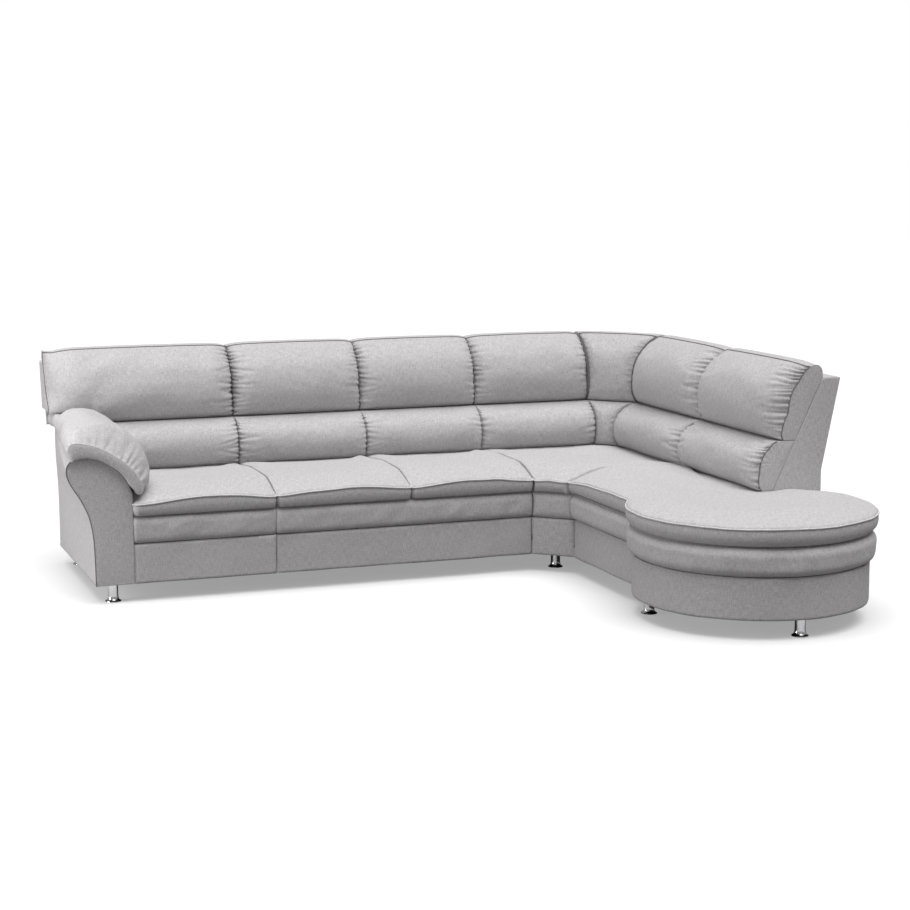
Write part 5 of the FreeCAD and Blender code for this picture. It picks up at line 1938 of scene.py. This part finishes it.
@dataclass
class Sofa:
    """Builds all sub-assemblies of the sofa in order."""

    finishes: Finishes
    frame: dict
    shop: Upholsterer = field(init=False)

    def __post_init__(self) -> None:
        """Prepares the upholstery shop."""
        self.shop = Upholsterer(self.finishes)

    def build(self) -> None:
        """Makes every piece."""
        self.dress_inside()
        self.backs()
        self.seats()
        self.base()
        Arm(self.shop).build()
        self.rear()
        Feet(self.finishes.chrome).build()

    def dress_inside(self) -> None:
        """Gives the carried-over CAD nodes their materials."""
        slots = {entry["node"]: entry["material_slot"] for entry in self.frame["record"]["subparts"]}
        for name, node in self.frame["nodes"].items():
            slot = Slot(slots[name])
            material = self.finishes.inside.get(slot)
            if material is None:
                continue
            for holder in node.material_slots:
                holder.material = material

    def backs(self) -> None:
        """All back cushions."""
        cushions = BackCushions(self.shop)
        gap = 0.0015
        y = SOFA.rear_y
        first = main_track(SOFA.over_arm, SOFA.single - gap, y, -1.0, 66)
        seat_part = main_track(gap, SOFA.single - gap, y, -1.0, 52)
        left = main_track(SOFA.single + gap, SOFA.double_seam - gap, y, -1.0, 52)
        right = main_track(SOFA.double_seam + gap, SOFA.corner - gap, y, -1.0, 50)
        fourth = main_track(SOFA.corner + gap, SOFA.wedge_x - gap, y, -1.0, 50)
        ends = ((SOFA.wedge_x + gap, y), FORWARD, (SOFA.rear_x, SOFA.wedge_y + gap), LEFTWARD)
        wedge = Track.between(*ends, 34)
        sixth = side_track(SOFA.wedge_y - gap, SOFA.wing_y + gap, 54)
        seventh = side_track(SOFA.wing_y - gap, SOFA.end_y + gap, 56)
        for level, track, ends in (
            (Level.HEAD, first, (True, False)),
            (Level.LUMBAR, seat_part, (False, False)),
        ):
            place = BackPlace(
                "single", track, 21, (0.0018, 0.012), (0.165, 0.08), ends, level is Level.HEAD
            )
            cushions.cushion(place, level)
        for place in (
            BackPlace("double_left", left, 22, (0.0115, 0.008), (0.073, 0.063)),
            BackPlace("double_right", right, 23, (0.0085, 0.0075), (0.063, 0.063)),
            BackPlace("corner_left", fourth, 24, (0.008, 0.009), (0.063, 0.066)),
            BackPlace("corner_wedge", wedge, 25, (0.0045, 0.0045), (0.024, 0.024)),
            BackPlace("corner_right", sixth, 26, (0.0085, 0.0145), (0.078, 0.078)),
            BackPlace("wing", seventh, 27, (0.0125, 0.0135), (0.073, 0.088), (False, True)),
        ):
            cushions.build(place)

    def seats(self) -> None:
        """All seat cushions."""
        seats = SeatCushions(self.shop)
        ends = (0.0, SOFA.single, SOFA.double_seam, SOFA.corner)
        names = ("single", "double_left", "double_right")
        for seed, (name, start, end) in enumerate(zip(names, ends, ends[1:]), 11):
            seats.build(seats.straight(name, start, end, seed))
        seats.build(seats.corner())
        seats.build(seats.wing())

    def base(self) -> None:
        """Front panels and rolls, from the arm round to the open end."""
        front = BaseFront(self.shop)
        gap = 0.0012
        single = main_track(gap, SOFA.single - gap, 0.0, 1.0, 56)
        double = main_track(SOFA.single + gap, SOFA.corner - gap, 0.0, 1.0, 96)
        corner = corner_front_track(gap, 22)
        whole = wing_front_line(SOFA.wing_y - gap, 2 * math.pi, 200)
        to_rear = resampled(np.array([whole[-1], (SOFA.rear_x, SOFA.end_y + 0.0145)]), 22)
        panel = Track.along_line(np.vstack([whole, to_rear[1:]]))
        angle = 2 * math.pi + math.asin((SOFA.end_y - 0.002 - SOFA.round_y) / SOFA.round_radius)
        roll = Track.along_line(wing_front_line(SOFA.wing_y - gap, angle, 216))
        for part in (
            BaseRun("single", single, single, 41),
            BaseRun("double", double, double, 42),
            BaseRun("corner", corner, corner, 43, (0.006, 0.006)),
            BaseRun("wing", panel, roll, 44, (0.006, 0.004), 0.022, 0.018),
        ):
            front.build(part)

    def rear(self) -> None:
        """Rear covers, end panels and the shelf behind the slanted cushions."""
        rear = RearShell(self.shop)
        low = SOFA.floor_gap + 0.001
        gap = 0.0008
        y = SOFA.rear_y
        corner = (SOFA.rear_x, y)
        mitre = (-1.0, -1.0)
        wing = (SOFA.rear_x, SOFA.wing_y + gap)
        tracks = {
            "single_rear": main_track(gap, SOFA.single - gap, y, -1.0, 24),
            "double_rear": main_track(SOFA.single + gap, SOFA.corner - gap, y, -1.0, 40),
            "corner_rear": Track.between((SOFA.corner + gap, y), FORWARD, corner, mitre, 34),
            "corner_side": Track.between(corner, mitre, wing, LEFTWARD, 34),
            "wing_rear": side_track(SOFA.wing_y - gap, SOFA.end_y + 0.015, 26),
        }
        for seed, (name, track) in enumerate(tracks.items(), 60):
            node = name.replace("side", "rear") + "_cover"
            rear.cover(name + "_cover_soft", track, low, [node], seed)
        over = main_track(SOFA.over_arm + 0.015, -gap, y, -1.0, 16)
        rear.cover("single_rear_cover_over_arm", over, 0.642, ["single_rear_cover"], 66)
        self._end_panels(rear)

    def _end_panels(self, rear: RearShell) -> None:
        """Boards over the two open ends of the back, and the corner's shelf."""
        top = SOFA.board_top
        foot = SOFA.panel_top + 0.0015
        section = [(0.0, foot), (0.0, SOFA.rake_start), (-SOFA.rake, top), (0.005, top)]
        section += [(0.276, SOFA.roll_top), (0.276, foot)]
        wing = np.array([(SOFA.rear_x - d, SOFA.end_y + 0.0005, z) for d, z in section])
        rear.slab("wing_end_panel_soft", wing, np.array([0.0, 0.013, 0.0]), ["wing_end_panel"])
        low = SOFA.over_arm_foot
        section = [(SOFA.rear_depth(low), low), (-SOFA.rake, top), (0.005, top)]
        section.append((SOFA.frame_depth(low), low))
        arm = np.array([(SOFA.over_arm + 0.0005, SOFA.rear_y - d, z) for d, z in section])
        rear.slab("single_end_panel_soft", arm, np.array([0.013, 0.0, 0.0]), ["single_end_panel"])
        lip = 0.006
        corners = [(SOFA.wedge_x, SOFA.rear_y - lip), (SOFA.rear_x - lip, SOFA.wedge_y)]
        corners.append((SOFA.rear_x - lip, SOFA.rear_y - lip))
        shelf = np.array([(a, b, top - 0.0055) for a, b in corners])
        rear.slab("corner_shelf_soft", shelf, np.array([0.0, 0.0, 0.005]), ["corner_shelf"])


def main() -> None:
    """Loads the frame, builds the sofa and its studio, and logs the face counts of the pieces."""
    logging.basicConfig(level=logging.INFO, format="%(name)s %(message)s")
    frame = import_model()
    Studio().build()
    Sofa(Finishes.made(), frame).build()


if __name__ == "__main__":
    main()
